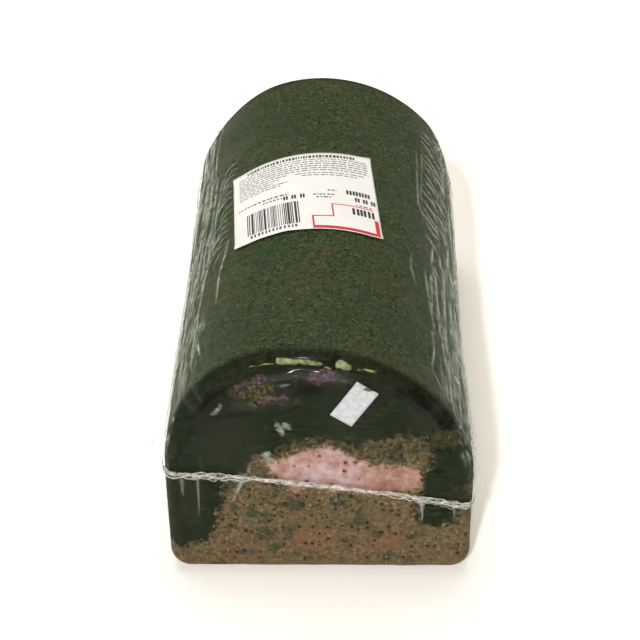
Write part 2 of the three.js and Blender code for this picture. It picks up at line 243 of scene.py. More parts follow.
def ring_faces(rows, columns, closed=True):
    faces = []
    last = columns if closed else columns - 1
    for r in range(rows - 1):
        for c in range(last):
            a, b = r * columns + c, r * columns + (c + 1) % columns
            faces.append((a, b, b + columns, a + columns))
    return faces


def capped_faces(rows, columns):
    """Faces of a closed tube, with a fan at each end to the two points that follow the rings."""
    faces = ring_faces(rows, columns)
    first, tail = rows * columns, (rows - 1) * columns
    for c in range(columns):
        n = (c + 1) % columns
        faces += [(first, n, c), (first + 1, tail + c, tail + n)]
    return faces


def merge(parts):
    points, faces, start = [], [], 0
    for p, f in parts:
        points.append(p)
        faces += [tuple(i + start for i in face) for face in f]
        start += len(p)
    return np.concatenate(points), faces


FILM_IOR = 1.42


class Tree:
    """A short way to write a material's nodes."""

    def __init__(self, name):
        self.material = bpy.data.materials.new(name)
        self.material.use_nodes = True
        self.nodes = self.material.node_tree.nodes
        self.links = self.material.node_tree.links
        self.nodes.clear()
        self.output = self.nodes.new("ShaderNodeOutputMaterial")
        self.at = self.nodes.new("ShaderNodeTexCoord").outputs["Object"]

    def put(self, socket, value):
        if isinstance(value, bpy.types.NodeSocket):
            self.links.new(value, socket)
        elif value is not None:
            if hasattr(socket.default_value, "__len__") and not hasattr(value, "__len__"):
                value = [value] * len(socket.default_value)
            if hasattr(value, "__len__") and len(value) == 3 and len(socket.default_value) == 4:
                value = (*value, 1)
            socket.default_value = value

    def node(self, kind, output, *values, inputs=None, **settings):
        """A node with its inputs set in order or by key; an output of None gives all its outputs."""
        node = self.nodes.new("ShaderNode" + kind)
        for key, setting in settings.items():
            setattr(node, key, setting)
        for key, value in [*enumerate(values), *(inputs or {}).items()]:
            self.put(node.inputs[key], value)
        return node.outputs if output is None else node.outputs[output]

    def value(self, name):
        return self.node("Attribute", "Fac", attribute_name=name)

    def scaled(self, vector, scale):
        return self.node("VectorMath", 0, vector, scale, operation="MULTIPLY")

    def warped(self, scale, amount):
        shake = self.noise(scale, 2, 0.6, colour=True)
        shake = self.node("VectorMath", 0, shake, (0.5,) * 3, operation="SUBTRACT")
        return self.node("VectorMath", 0, self.at, self.scaled(shake, (amount,) * 3), operation="ADD")

    def combine(self, x, y, z):
        return self.node("CombineXYZ", 0, x, y, z)

    def separate(self, vector):
        return self.node("SeparateXYZ", None, vector)[0:3]

    def noise(self, scale, detail=2.0, rough=0.5, at=None, colour=False):
        inputs = {"Vector": self.at if at is None else at, "Scale": scale, "Detail": detail, "Roughness": rough}
        return self.node("TexNoise", "Color" if colour else "Fac", inputs=inputs)

    def specks(self, at, scale, share, size, soft=0.08, space="3D"):
        """Scattered specks: a share of the cells of a lattice hold one, of uneven size."""
        cells = self.node("TexVoronoi", None, inputs={"Vector": at, "Scale": scale}, voronoi_dimensions=space)
        picks = self.separate(cells["Color"])
        radius = self.math("MULTIPLY_ADD", picks[1], size, 0.5 * size)
        near = self.minus(radius, cells["Distance"])
        return self.times(self.step(near, -soft, soft), self.math("LESS_THAN", picks[0], share))

    def math(self, operation, a, b=None, c=None, clamp=False):
        return self.node("Math", 0, a, b, c, operation=operation, use_clamp=clamp)

    def times(self, a, b, **more):
        return self.math("MULTIPLY", a, b, **more)

    def plus(self, a, b, **more):
        return self.math("ADD", a, b, **more)

    def minus(self, a, b, **more):
        return self.math("SUBTRACT", a, b, **more)

    def step(self, value, low, high, to_low=0.0, to_high=1.0):
        return self.node("MapRange", 0, value, low, high, to_low, to_high, interpolation_type="SMOOTHSTEP")

    def mix(self, factor, a, b):
        return self.node("Mix", 2, inputs={0: factor, 6: a, 7: b}, data_type="RGBA")

    def tint(self, base, value, low, high, amount, colour):
        """Base turned towards a display colour as value goes from low to high."""
        return self.mix(self.step(value, low, high, 0, amount), base, srgb(*colour))

    def lay(self, base, mask, amount, colour):
        """A display colour laid over base by an amount of mask."""
        return self.mix(self.times(mask, amount), base, srgb(*colour))

    def ramp(self, value, stops):
        """A colour ramp from stops of a place and a display colour."""
        node = self.nodes.new("ShaderNodeValToRGB")
        self.put(node.inputs[0], value)
        elements = node.color_ramp.elements
        elements.remove(elements[1])
        for i, (place, *colour) in enumerate(stops):
            element = elements.new(place) if i else elements[0]
            element.position, element.color = place, (*srgb(*colour), 1)
        return node.outputs[0]

    def bump(self, height, distance, strength=1.0):
        return self.node("Bump", 0, inputs={"Strength": strength, "Distance": distance, "Height": height})

    def principled(self, colour, roughness, normal=None, **constants):
        inputs = {"Base Color": colour, "Roughness": roughness, "Normal": normal}
        inputs.update((key.replace("_", " "), number) for key, number in constants.items())
        return self.node("BsdfPrincipled", 0, inputs=inputs)

    def blend(self, factor, a, b):
        return self.node("MixShader", 0, factor, a, b)

    def over_clear(self, cover, shader):
        return self.blend(cover, self.node("BsdfTransparent", 0), shader)

    def gloss(self, shader, strength, roughness, normal):
        """A thin glossy skin over shader, weaker than a thick one by strength."""
        fresnel = self.node("Fresnel", 0, FILM_IOR, normal)
        glossy = self.node("BsdfGlossy", 0, inputs={"Roughness": roughness, "Normal": normal})
        return self.blend(self.times(fresnel, strength), shader, glossy)

    def paper(self, tone, roughness):
        grain = self.bump(self.noise(1500, 3, 0.7), 0.0001, 0.4)
        return self.finish(self.principled(tone, roughness, grain, Specular_IOR_Level=0.3))

    def finish(self, shader):
        self.links.new(shader, self.output.inputs["Surface"])
        return self.material


def srgb(r, g, b):
    """A colour given as 0 to 255 display values, as linear light."""
    out = []
    for c in (r, g, b):
        c = c / 255
        out.append(c / 12.92 if c <= 0.04045 else ((c + 0.055) / 1.055) ** 2.4)
    return tuple(out)


# ---------------------------------------------------------------- the ham

def to_segment(x, z, start, end):
    """Share along the segment of the point nearest to each (x, z), and the distance to it."""
    ex, ez = end[0] - start[0], end[1] - start[1]
    t = np.clip(((x - start[0]) * ex + (z - start[1]) * ez) / (ex * ex + ez * ez), 0, 1)
    return t, np.hypot(x - start[0] - t * ex, z - start[1] - t * ez)


def polygon_distance(x, z, corners):
    """Signed distance to a polygon in the face, positive inside."""
    best = np.full(x.shape, 1e9)
    inside = np.zeros(x.shape, bool)
    for start, end in zip(corners, corners[1:] + corners[:1]):
        (ax, az), (bx, bz) = start, end
        best = np.minimum(best, to_segment(x, z, start, end)[1])
        crosses = (az > z) != (bz > z)
        inside ^= crosses & (x < (bx - ax) * (z - az) / (bz - az or 1e-9) + ax)
    return np.where(inside, best, -best)


def blobs(x, z, spots):
    """Signed depth inside the nearest of several ovals (x, z, half width, half height, turn)."""
    best = np.full(x.shape, -1e9)
    for cx, cz, w, h, turn in spots:
        c, s = math.cos(turn), math.sin(turn)
        u, v = (x - cx) * c + (z - cz) * s, -(x - cx) * s + (z - cz) * c
        best = np.maximum(best, (1 - np.hypot(u / w, v / h)) * min(w, h))
    return best


def strips(u, a, lines):
    """Signed depth inside the nearest of several straight strips (u0, a0, u1, a1, half width)."""
    best = np.full(u.shape, -1e9)
    for u0, a0, u1, a1, half in lines:
        best = np.maximum(best, half - to_segment(u, a, (u0, a0), (u1, a1))[1])
    return best


# Patches of the front face, in x and height: outlines, then ovals (x, z, half width, half height, turn).
MEAT_OUTLINE = [(-70, -3), (70, -3), (70, 42), (64.5, 41), (61, 38), (58.5, 31.5), (51, 28), (44, 29.5),
                (41, 36), (43, 45), (47, 56), (49, 68), (45, 77), (34, 78), (26, 74), (12, 73), (0, 75),
                (-9, 72),
                (-17, 66), (-25, 63), (-29, 60), (-31, 55), (-36, 52), (-41, 46), (-43, 37), (-46, 26),
                (-49, 17), (-58, 15), (-70, 15)]
PINK_OUTLINE = [(-23, 60.5), (-16.5, 63.3), (-8, 67), (-1, 69.6), (6, 69.6), (12.5, 67.5), (18, 63.5),
                (23.5, 60.5), (30, 59.5), (40, 59), (44, 57), (44, 51), (40, 47), (28, 44.5), (14, 45),
                (3, 45.5), (-7, 46.5), (-16, 50), (-21, 55)]
PRESSED_OUTLINE = [(-64, 40), (-63, 70), (-56, 76), (-45, 81.6), (-35, 83.5), (-25, 85.2), (-14, 86), (-6, 90),
                   (0, 97), (12, 98), (25, 98.5), (36, 95), (46, 87), (56, 76), (63, 60), (64, 30), (50, 10),
                   (-50, 10)]
PURPLE_BITS = [(3, 105.6, 6.6, 3.6, 0.25), (-23.4, 102.4, 3.4, 2.1, 0.6), (-31.2, 98.4, 2.2, 1.4, 0),
               (-14.4, 93.4, 3, 2.1, 0), (-20, 92.4, 2.2, 1.3, 0), (-8.6, 104, 0.9, 1.7, 0),
               (0.4, 101.8, 1.2, 1.2, 0)]
BROWN_BITS = [(-24.5, 97.5, 8.5, 4.4, 0.14), (-31, 95.5, 4, 2.6, 0), (-20.5, 99.5, 4.5, 3, 0),
              (62, 47.5, 5, 4.5, 0), (10, 103, 4, 1.6, 0), (52, 76, 7, 4.5, 0), (-22, 92, 9, 2.2, 0.1)]
RED_PATCHES = [(-3, 20, 13, 6, 0), (28, 17, 9, 4, 0), (-34, 11, 9, 3, 0)]
FAT_BITS = [(-15.4, 78.4, 1.5, 2.7, 0.25), (-12.9, 80.0, 2.0, 1.3, -0.7), (-16.4, 80.4, 1.3, 1.6, 0.3),
            (-21.6, 64.3, 2.1, 1.9, 0.2), (-20.6, 61.9, 1.6, 1.6, 0), (-41.9, 86, 0.8, 1.9, -0.6)]
# Painted shadow: near-black ovals in the gap above the pressed area's step and in the dark recesses of the end
# faces.
PAINTED_SHADOW_GAPS = [(-37, 83.6, 14, 1.7, 0.1), (-9.5, 87.4, 6, 1.5, 0.36), (-2, 98.2, 6, 2.3, 0.1),
              (40, 94, 10, 4.5, -0.62), (-11.6, 101.6, 3.6, 1.4, 0), (52, 84, 6, 5, -0.9),
              (-43, 90, 9, 4.5, 0.75)]
# Strips on the rounded rim: distance around and rim arc at both ends, then half width. The olive strips are
# pale jelly with a painted highlight.
JELLY_AND_HIGHLIGHT_STRIPS = [(-15.8, 3.7, 1.8, 2.0, 1.0), (10.2, 3.4, 14.2, 3.0, 1.6)]
YELLOW_LINES = [(-29, 3.8, -17, 2.5, 0.3), (18.5, 3.2, 26.5, 4.6, 0.4), (4.2, 1.2, 6.5, 0.8, 0.6)]
# Painted shade: dark strips of a pit in the rim.
RIM_PIT_SHADE = [(5.6, 3.6, 6.8, 3.6, 1.5), (7.6, 5.0, 9.0, 9.0, 0.8)]
OUTLINES = {"meat": MEAT_OUTLINE, "pink": PINK_OUTLINE, "pressed": PRESSED_OUTLINE}
OVALS = {"purple": PURPLE_BITS, "brown": BROWN_BITS, "fat": FAT_BITS, "gap": PAINTED_SHADOW_GAPS, "red": RED_PATCHES}
STRIPS = {"olive": JELLY_AND_HIGHLIGHT_STRIPS, "yellow": YELLOW_LINES, "pit_shade": RIM_PIT_SHADE}


def ham_columns():
    side = np.linspace(WRINKLE_START, WALL_END, 90)
    crown = np.linspace(0, WRINKLE_START, 34)[:-1]
    corner = np.linspace(WALL_END, CORNER_END, 14)[1:]
    base = np.linspace(CORNER_END, BASE_MIDDLE, 22)[1:]
    right = np.concatenate([crown, side, corner, base])
    return np.concatenate([right, -right[-2:0:-1]])


WAVES = 26


def relief(points, size, seed, amplitude):
    """Smooth random relief from a few summed waves."""
    rng = np.random.default_rng(seed)
    total = np.zeros(len(points))
    for _ in range(WAVES):
        direction = rng.normal(size=3)
        direction /= np.linalg.norm(direction)
        wave = 2 * math.pi / (size * rng.uniform(0.6, 1.8))
        total += np.sin(points @ direction * wave + rng.uniform(0, 6.28))
    return amplitude * total / math.sqrt(WAVES)


def crown_hole(points, radius):
    """Nearness to the small hole in the crown, 1 in its middle."""
    gap = np.hypot(points[:, 0] - CROWN_HOLE[0], points[:, 1] - CROWN_HOLE[1])
    return bump(0, radius, gap) * (points[:, 2] > 100)


def ham_rings(columns):
    """Rings from the middle of the front face to the middle of the back one, and the rim arc at each point."""
    plan = stations(84, 12)
    body = [surface(columns, position, inset, -SKIN) for position, inset, _ in plan]
    body_arc = [np.full(len(columns), run + RIM_ARC - FILLET) for _, _, run in plan]
    body[0][:, 1] += SKIN
    body[-1][:, 1] -= SKIN

    def face(rim, shares, along):
        rings, arcs = [], []
        for share in shares:
            x, z = rim[:, 0] * share, FACE_CENTRE_Z + (rim[:, 2] - FACE_CENTRE_Z) * share
            level = -HALF_LENGTH + SKIN if along == 0 else HALF_LENGTH - SKIN
            rings.append(np.stack([x, level + face_shift(x, z, along), z], -1))
            arcs.append(-np.hypot(rim[:, 0] - x, rim[:, 2] - z))
        return rings, arcs

    front, front_arc = face(body[0], np.linspace(1, 0, 62)[1:-1], 0)
    back, back_arc = face(body[-1], np.linspace(1, 0, 34)[1:-1], 1)
    arcs = front_arc[::-1] + body_arc + [np.full(len(columns), LENGTH)] * len(back)
    return front[::-1] + body + back, np.concatenate(arcs)


def build_ham():
    columns = ham_columns()
    rings, arc = ham_rings(columns)
    around = np.tile(columns, len(rings))
    points = np.concatenate(rings)
    middle_front = np.array([0, -HALF_LENGTH + SKIN + FRONT_LEAN * FACE_CENTRE_Z, FACE_CENTRE_Z])
    middle_back = np.array([0, HALF_LENGTH - SKIN, FACE_CENTRE_Z])
    around, arc = np.append(around, [0, 0]), np.append(arc, [-60, LENGTH])
    points = ham_relief(np.vstack([points, middle_front, middle_back]))
    ham = make_mesh("ham_loaf", points, capped_faces(len(rings), len(columns)))
    back_side = np.where(points[:, 1] > 0, -1.0, 1.0)
    x, z = points[:, 0] * back_side, points[:, 2]
    depth = HALF_LENGTH - np.abs(points[:, 1] - face_shift(points[:, 0], z, 0) * (points[:, 1] < 0))
    rim_only = np.where(points[:, 1] > 0, -LENGTH, arc)
    fields = {name: polygon_distance(x, z, corners) for name, corners in OUTLINES.items()}
    fields.update((name, blobs(x, z, spots)) for name, spots in OVALS.items())
    fields.update((name, strips(around, rim_only, lines)) for name, lines in STRIPS.items())
    add_values(ham, depth=depth, hole=crown_hole(points, 2.4), **fields)
    return ham


def ham_relief(points):
    """Low relief of the pressed meat, the hollow above the flat area and a small hole in the crown."""
    radial = points * np.array([1, 0, 1]) - np.array([0, 0, 58])
    radial /= np.maximum(np.linalg.norm(radial, axis=1), 1)[:, None]
    body = smooth(4, 9, points[:, 1] + HALF_LENGTH) * smooth(4, 9, HALF_LENGTH - points[:, 1])
    above_base = smooth(2, 12, points[:, 2])
    low = relief(points, 26, 3, 0.22) + relief(points, 7, 5, 0.12)
    points = points + radial * (np.minimum(low, 0.3) * body * above_base)[:, None]
    x, z = points[:, 0], points[:, 2]
    on_front = smooth(12, 6, points[:, 1] + HALF_LENGTH - face_shift(x, z, 0))
    hollow = smooth(1.5, -2.5, polygon_distance(x, z, PRESSED_OUTLINE)) * smooth(60, 80, z) * on_front
    ripple = relief(points, 9, 11, 0.5) + relief(points, 4, 12, 0.25)
    grain = np.maximum(relief(points, 14, 8, 0.18), -0.4)
    points[:, 1] += hollow * (0.9 + np.maximum(ripple, -0.6)) + on_front * grain
    points[:, 2] -= 1.6 * crown_hole(points, 2.2)
    return points


def leaf_colour(t):
    """Chopped parsley: fine dark leaf with olive, grey and yellow-green flecks."""
    leaf = t.ramp(t.noise(760, 3, 0.75), [(0.36, 34, 43, 24), (0.46, 53, 63, 38), (0.54, 68, 79, 49),
                                          (0.64, 94, 101, 64)])
    hue, cloud, bent = t.noise(260, 3, 0.65), t.noise(38, 2, 0.5), t.warped(900, 0.0009)
    for value, low, high, amount, colour in (
            (hue, 0.50, 0.62, 0.42, (88, 82, 52)), (hue, 0.48, 0.37, 0.42, (42, 60, 42)),
            (cloud, 0.50, 0.66, 0.32, (78, 76, 46)), (cloud, 0.50, 0.36, 0.30, (48, 68, 44))):
        leaf = t.tint(leaf, value, low, high, amount, colour)
    for scale, share, size, cover, colour in (
            (430, 0.10, 0.26, 0.5, (116, 120, 76)), (360, 0.10, 0.30, 0.65, (26, 33, 20)),
            (240, 0.05, 0.20, 0.5, (92, 80, 84))):
        leaf = t.lay(leaf, t.specks(bent, scale, share, size), cover, colour)
    return leaf


def face_plane(t, scale, amount):
    """A slightly warped x and height in the plane of an end face."""
    x, _, z = t.separate(t.warped(scale, amount))
    return t.combine(x, z, 0.0)


def meat_colour(t, red):
    """Olive-tan meat speckled with parsley and pepper, redder low down."""
    x, _, z = t.separate(t.at)
    tan = t.ramp(t.noise(560, 4, 0.8), [(0.36, 74, 64, 40), (0.46, 94, 81, 56), (0.54, 109, 92, 66),
                                        (0.66, 138, 116, 86)])
    tan = t.tint(tan, t.noise(120, 4, 0.7), 0.48, 0.60, 0.5, (80, 84, 54))
    tan = t.tint(tan, t.noise(170, 3, 0.6), 0.53, 0.66, 0.4, (124, 92, 70))
    tan = t.lay(tan, red, 0.45, (134, 86, 68))
    high = t.step(t.minus(t.times(z, 22), t.times(x, 8)), 0.2, 1.1)
    smudge = t.math("MULTIPLY_ADD", high, 0.07, t.noise(115, 4, 0.65))
    tan = t.tint(tan, smudge, 0.57, 0.66, 0.75, (52, 62, 48))
    face = face_plane(t, 800, 0.0014)
    pepper = t.step(high, 0, 1, 0.28, 0.62)
    for scale, share, size, cover, colour in (
            (520, 0.16, 0.26, 0.5, (146, 128, 94)), (430, 0.32, 0.26, 0.7, (62, 64, 34)),
            (330, 0.05, 0.24, 0.5, (112, 66, 44)), (300, pepper, 0.20, 0.85, (38, 34, 19)),
            (130, 0.22, 0.13, 0.7, (40, 44, 28))):
        tan = t.lay(tan, t.specks(face, scale, share, size, 0.06, "2D"), cover, colour)
    return tan


def pink_colour(t):
    """Pale ham, rosy in the middle and more orange to its edges, with a few pepper specks."""
    x, _, z = t.separate(t.at)
    streak = t.noise(170, 5, 0.7)
    rosy = t.ramp(streak, [(0.36, 180, 132, 122), (0.5, 202, 166, 162), (0.62, 212, 186, 190)])
    salmon = t.ramp(streak, [(0.36, 156, 112, 98), (0.5, 180, 138, 124), (0.62, 204, 168, 156)])
    side = t.plus(t.math("ABSOLUTE", t.minus(x, 0.004)), t.times(streak, 0.012))
    pink = t.mix(t.step(side, 0.014, 0.030), rosy, salmon)
    inner = t.plus(t.value("pink"), t.times(t.noise(300, 4, 0.75), 8))
    pink = t.tint(pink, inner, 7.0, 4.0, 0.6, (178, 138, 108))
    pink = t.lay(pink, t.step(z, 0.054, 0.046), 0.35, (176, 112, 94))
    face = face_plane(t, 700, 0.0014)
    pink = t.lay(pink, t.specks(face, 190, 0.34, 0.24, 0.14, "2D"), 0.45, (156, 100, 74))
    return t.lay(pink, t.specks(face, 190, 0.34, 0.12, 0.07, "2D"), 0.85, (60, 40, 24))


def ham_material():
    t = Tree("ham_under_film")
    fine = t.noise(620, 4, 0.72)
    dither = t.minus(t.noise(430, 5, 0.8), 0.5)
    wander = t.minus(t.noise(85, 3, 0.6), 0.5)
    z = t.separate(t.at)[2]

    def edge(name, soft, crumbs, slow):
        """A patch whose edge is broken by fine crumbs and a slow wander."""
        moved = t.math("MULTIPLY_ADD", dither, crumbs, t.value(name))
        return t.step(t.math("MULTIPLY_ADD", wander, slow, moved), -soft, soft)

    leaf = t.scaled(leaf_colour(t), (0.77, 0.81, 0.92))
    front = t.step(t.value("depth"), 7.5, 5.0)
    flat_green = t.ramp(t.noise(300, 4, 0.7, t.scaled(t.at, (1, 1, 2.2))),
                        [(0.36, 18, 25, 11), (0.5, 31, 38, 22), (0.64, 47, 54, 36)])
    flat_green = t.tint(flat_green, t.noise(70, 3, 0.6), 0.46, 0.62, 0.4, (36, 39, 17))
    flat_green = t.tint(flat_green, t.noise(900, 2, 0.6), 0.52, 0.66, 0.3, (58, 66, 46))
    # Painted shade: the hollow above the pressed area is the leaf mixed towards near black, and the gap ovals
    # are laid near black in it as painted shadow.
    hollow = t.lay(t.mix(0.66, leaf, srgb(12, 18, 7)), edge("gap", 0.6, 7, 5), 0.75, (8, 12, 5))
    mottle = t.ramp(t.noise(820, 4, 0.8), [(0.42, 30, 32, 16), (0.5, 66, 62, 36), (0.62, 124, 112, 74)])
    brown = edge("brown", 1.2, 12, 7)
    hollow = t.mix(brown, hollow, mottle)
    flat_green = t.mix(t.times(brown, 0.45), t.scaled(flat_green, (0.95, 1.02, 0.99)), mottle)
    green = t.mix(front, leaf, t.mix(t.times(edge("pressed", 0.5, 2.5, 2), front), hollow, flat_green))

    tan = t.scaled(meat_colour(t, edge("red", 2.5, 12, 7)), (1.22, 1.20, 1.24))
    bottom = t.times(t.step(z, 0.012, 0.003), t.step(wander, -0.12, 0.06))
    tan = t.lay(tan, bottom, 0.5, (140, 106, 72))
    fringe = t.math("MULTIPLY_ADD", t.step(z, 0.052, 0.072), 0.16, t.noise(330, 4, 0.75))
    tan = t.mix(t.step(fringe, 0.58, 0.70, 0, 0.55), tan, flat_green)
    meat = t.mix(edge("pink", 1.4, 16, 9), tan, pink_colour(t))

    on_front = t.step(t.value("depth"), 9.5, 6.5)
    colour = t.mix(t.times(edge("meat", 1.2, 22, 12), on_front), green, meat)
    purple = t.ramp(fine, [(0.38, 44, 34, 38), (0.5, 84, 64, 74), (0.64, 132, 102, 116)])
    colour = t.mix(t.times(edge("purple", 0.7, 4.5, 2.5), front), colour, purple)
    pale = t.ramp(fine, [(0.36, 96, 104, 84), (0.5, 140, 148, 128), (0.62, 182, 186, 170)])
    colour = t.mix(t.times(edge("fat", 0.7, 5, 2), front), colour, pale)
    # Pale olive strips on the front rim: jelly, and a painted highlight in the same colour.
    jelly_and_highlight = t.ramp(t.noise(300, 4, 0.7), [(0.38, 112, 120, 78), (0.5, 150, 156, 112), (0.62, 180, 182, 138)])
    colour = t.mix(edge("olive", 0.35, 3.0, 1.5), colour, jelly_and_highlight)
    colour = t.mix(edge("yellow", 0.2, 1.0, 0.3), colour, srgb(184, 166, 104))
    # Painted shade: the pit in the rim and the small hole in the crown are laid near black.
    dark = t.math("MAXIMUM", edge("pit_shade", 0.3, 2.0, 1.0), t.value("hole"))
    colour = t.lay(colour, dark, 0.85, (20, 22, 14))
    shade = t.step(on_front, 0, 1, 1.0, 0.76)
    colour = t.scaled(colour, t.combine(shade, shade, shade))
    height = t.plus(t.times(fine, 0.6), t.times(dither, 0.6))
    rough = t.step(fine, 0.3, 0.7, 0.45, 0.62)
    return t.finish(t.principled(colour, rough, t.bump(height, 0.0006, 0.2), Specular_IOR_Level=0.05))


# ---------------------------------------------------------------- the film

class Creases:
    """Fine creases laid over the unrolled film: each is a path that lifts the film and whitens it, the
    whitening partly painted sheen.
    """

    def __init__(self, around, run):
        self.around, self.run = around, run
        self.height = np.zeros_like(around)
        self.white = np.zeros_like(around)

    def add(self, path, width, height, white):
        path = np.asarray(path, float)
        low, high = path.min(0) - width, path.max(0) + width
        near = (self.around > low[0]) & (self.around < high[0]) & (self.run > low[1]) & (self.run < high[1])
        if not near.any():
            return
        u, r = self.around[near], self.run[near]
        best, share = np.full(u.shape, 1e9), np.zeros(u.shape)
        steps = len(path) - 1
        for i in range(steps):
            t, gap = to_segment(u, r, path[i], path[i + 1])
            closer = gap < best
            best = np.where(closer, gap, best)
            share = np.where(closer, (i + t) / steps, share)
        taper = np.sin(math.pi * np.clip(share, 0.03, 0.97)) ** 0.5
        rise = height * np.clip(1 - best / width, 0, 1) ** 1.4 * taper
        self.height[near] = np.maximum(self.height[near], rise)
        glow = white * np.exp(-(best / (0.40 * width)) ** 2) * taper
        self.white[near] = np.maximum(self.white[near], glow)


# The most visible creases: (distance around from the crown, run from the front) of each point, then width,
# height and whiteness.
RIGHT_CREASES = [
    ([(50.5, 204), (51, 170), (51, 152), (55, 143), (63, 138)], 1.5, 0.3, 0.55),
    ([(55, 216), (54, 197), (54, 178), (53, 152)], 1.6, 0.3, 0.4),
    ([(56, 128), (61, 126), (66, 120), (66, 108)], 2.4, 0.8, 1.0),
    ([(45, 101), (44, 90), (47, 77)], 1.6, 0.25, 0.45),
    ([(53, 95), (54, 80), (55, 68)], 1.8, 0.5, 0.7),
    ([(62, 108), (60, 84), (61, 68)], 2.0, 0.6, 0.8),
    ([(70, 120), (68, 92), (67, 70)], 2.0, 0.7, 0.9),
    ([(78, 150), (77, 128), (84, 106)], 2.2, 0.7, 0.85),
    ([(91, 140), (84, 120), (79, 104)], 2.0, 0.6, 0.7),
    ([(72, 75), (72, 63), (75, 50)], 1.8, 0.6, 0.9),
    ([(82, 78), (86, 66), (89, 54)], 1.8, 0.6, 0.8),
    ([(56, 51), (56, 36), (54, 24)], 1.4, 0.4, 0.8),
    ([(63, 56), (66, 44)], 1.5, 0.5, 0.7),
    ([(54, 22), (60, 14)], 1.4, 0.4, 0.9),
    ([(70, 40), (74, 34), (80, 39)], 2.2, 0.8, 1.1),
    ([(66, 18), (68, 12), (70, 7)], 1.2, 0.4, 0.8),
    ([(63, 20), (64, 13)], 1.2, 0.4, 0.7),
    ([(94, 44), (88, 24), (84, 10)], 1.8, 0.7, 0.9),
    ([(90, 30), (93, 16), (99, 9), (110, 7)], 1.4, 0.5, 0.9),
    ([(74, 26), (80, 14), (92, 8)], 1.3, 0.4, 0.7),
    ([(60, 15), (68, 9), (78, 6), (88, 5)], 0.9, 0.4, 0.9),
    ([(68, 7), (76, 4), (90, 2), (104, 1)], 0.9, 0.5, 1.0),
    ([(74, 2), (86, 0), (98, -1)], 0.8, 0.4, 0.7),
]
LEFT_CREASES = [
    ([(81, 248), (73, 209), (69, 175), (67, 150)], 3.2, 0.6, 0.6),
    ([(67, 206), (65, 181), (62, 157), (65, 130)], 2.0, 0.6, 0.7),
    ([(60, 184), (60, 160), (59, 122)], 2.0, 0.6, 0.7),
    ([(90, 234), (81, 199), (76, 176), (78, 146)], 2.2, 0.7, 0.7),
    ([(54, 164), (56, 140), (55, 116)], 1.8, 0.5, 0.6),
    ([(45, 107), (46, 94), (48, 80), (48, 58)], 1.5, 0.4, 1.0),
    ([(60, 124), (57, 105), (61, 95), (68, 76)], 2.0, 0.7, 0.9),
    ([(55, 104), (57, 94), (63, 72)], 1.8, 0.6, 0.8),
    ([(58, 90), (60, 72)], 1.6, 0.5, 0.8),
    ([(58, 48), (58, 35), (63, 22)], 1.5, 0.5, 0.8),
    ([(57, 36), (53, 20)], 1.5, 0.5, 0.9),
    ([(54, 22), (58, 16), (61, 10)], 1.1, 0.3, 0.35),
    ([(65, 22), (68, 9)], 1.3, 0.4, 0.5),
    ([(62, 10), (70, 7), (82, 6), (98, 5)], 1.0, 0.4, 0.8),
    ([(66, 6), (76, 3), (88, 2), (102, 1)], 0.9, 0.4, 0.9),
]


def lay_creases(creases, side):
    """All the creases of one side."""
    rng = np.random.default_rng(41 if side < 0 else 87)
    flip = np.array([side, 1])

    def lay(points, width, height, white):
        points = np.asarray(points, float)
        # the front of the right side is less creased than the rest
        strength = 0.76 if side > 0 and points[:, 1].mean() < 80 else 0.88
        creases.add(points * flip, width, height, strength * white)

    def wander(u0, r0, u1, r1, sway=1.0, bow=0.0, steps=9):
        s = np.linspace(0, 1, steps)
        walk = rng.normal(size=steps).cumsum() * sway * 0.35
        walk -= np.linspace(walk[0], walk[-1], steps)
        return np.stack([u0 + (u1 - u0) * s + walk + bow * np.sin(math.pi * s), r0 + (r1 - r0) * s], 1)

    for points, width, height, white in (LEFT_CREASES if side < 0 else RIGHT_CREASES):
        lay(points, width, height, white)
    # long ones down the wall and the lower arch
    for _ in range(84):
        r0 = rng.uniform(6, 225)
        r1 = min(r0 + rng.uniform(20, 80), 256)
        u = 60 + 56 * rng.beta(1.1, 1.3)
        if side > 0 and u < 84 and r1 > 128:
            continue
        shift = rng.normal() * 2 - (0.03 if side < 0 else 0.08) * (r1 - r0)
        steep = 1 / max(math.cos(u / ARCH_MEAN), 0.45)
        lay(wander(u, r0, u + shift, r1, 1.1), rng.uniform(0.8, 1.3) * steep, rng.uniform(0.25, 0.7),
            rng.uniform(0.25, 0.95))
    # short ones: a dense crumple under the label's front corners, then fine ones down the front shoulder
    for count, arounds, runs, drifts, reaches, sway, widths, heights, whites in (
            (44, (54, 78), (48, 134), (-3, 4), (7, 24), 0.9, (1.2, 2.2), (0.3, 0.8), (0.3, 0.9)),
            (30, (60, 86), (26, 76), (-1, 4), (14, 40), 0.7, (1.0, 1.6), (0.25, 0.6), (0.3, 0.9))):
        for _ in range(count):
            u, r = rng.uniform(*arounds), rng.uniform(*runs)
            path = wander(u, r, u + rng.uniform(*drifts), max(r - rng.uniform(*reaches), 9), sway)
            lay(path, rng.uniform(*widths), rng.uniform(*heights), rng.uniform(*whites))
    if side > 0:
        feather_right(lay, wander, rng)
    else:
        feather_left(lay, wander, rng)


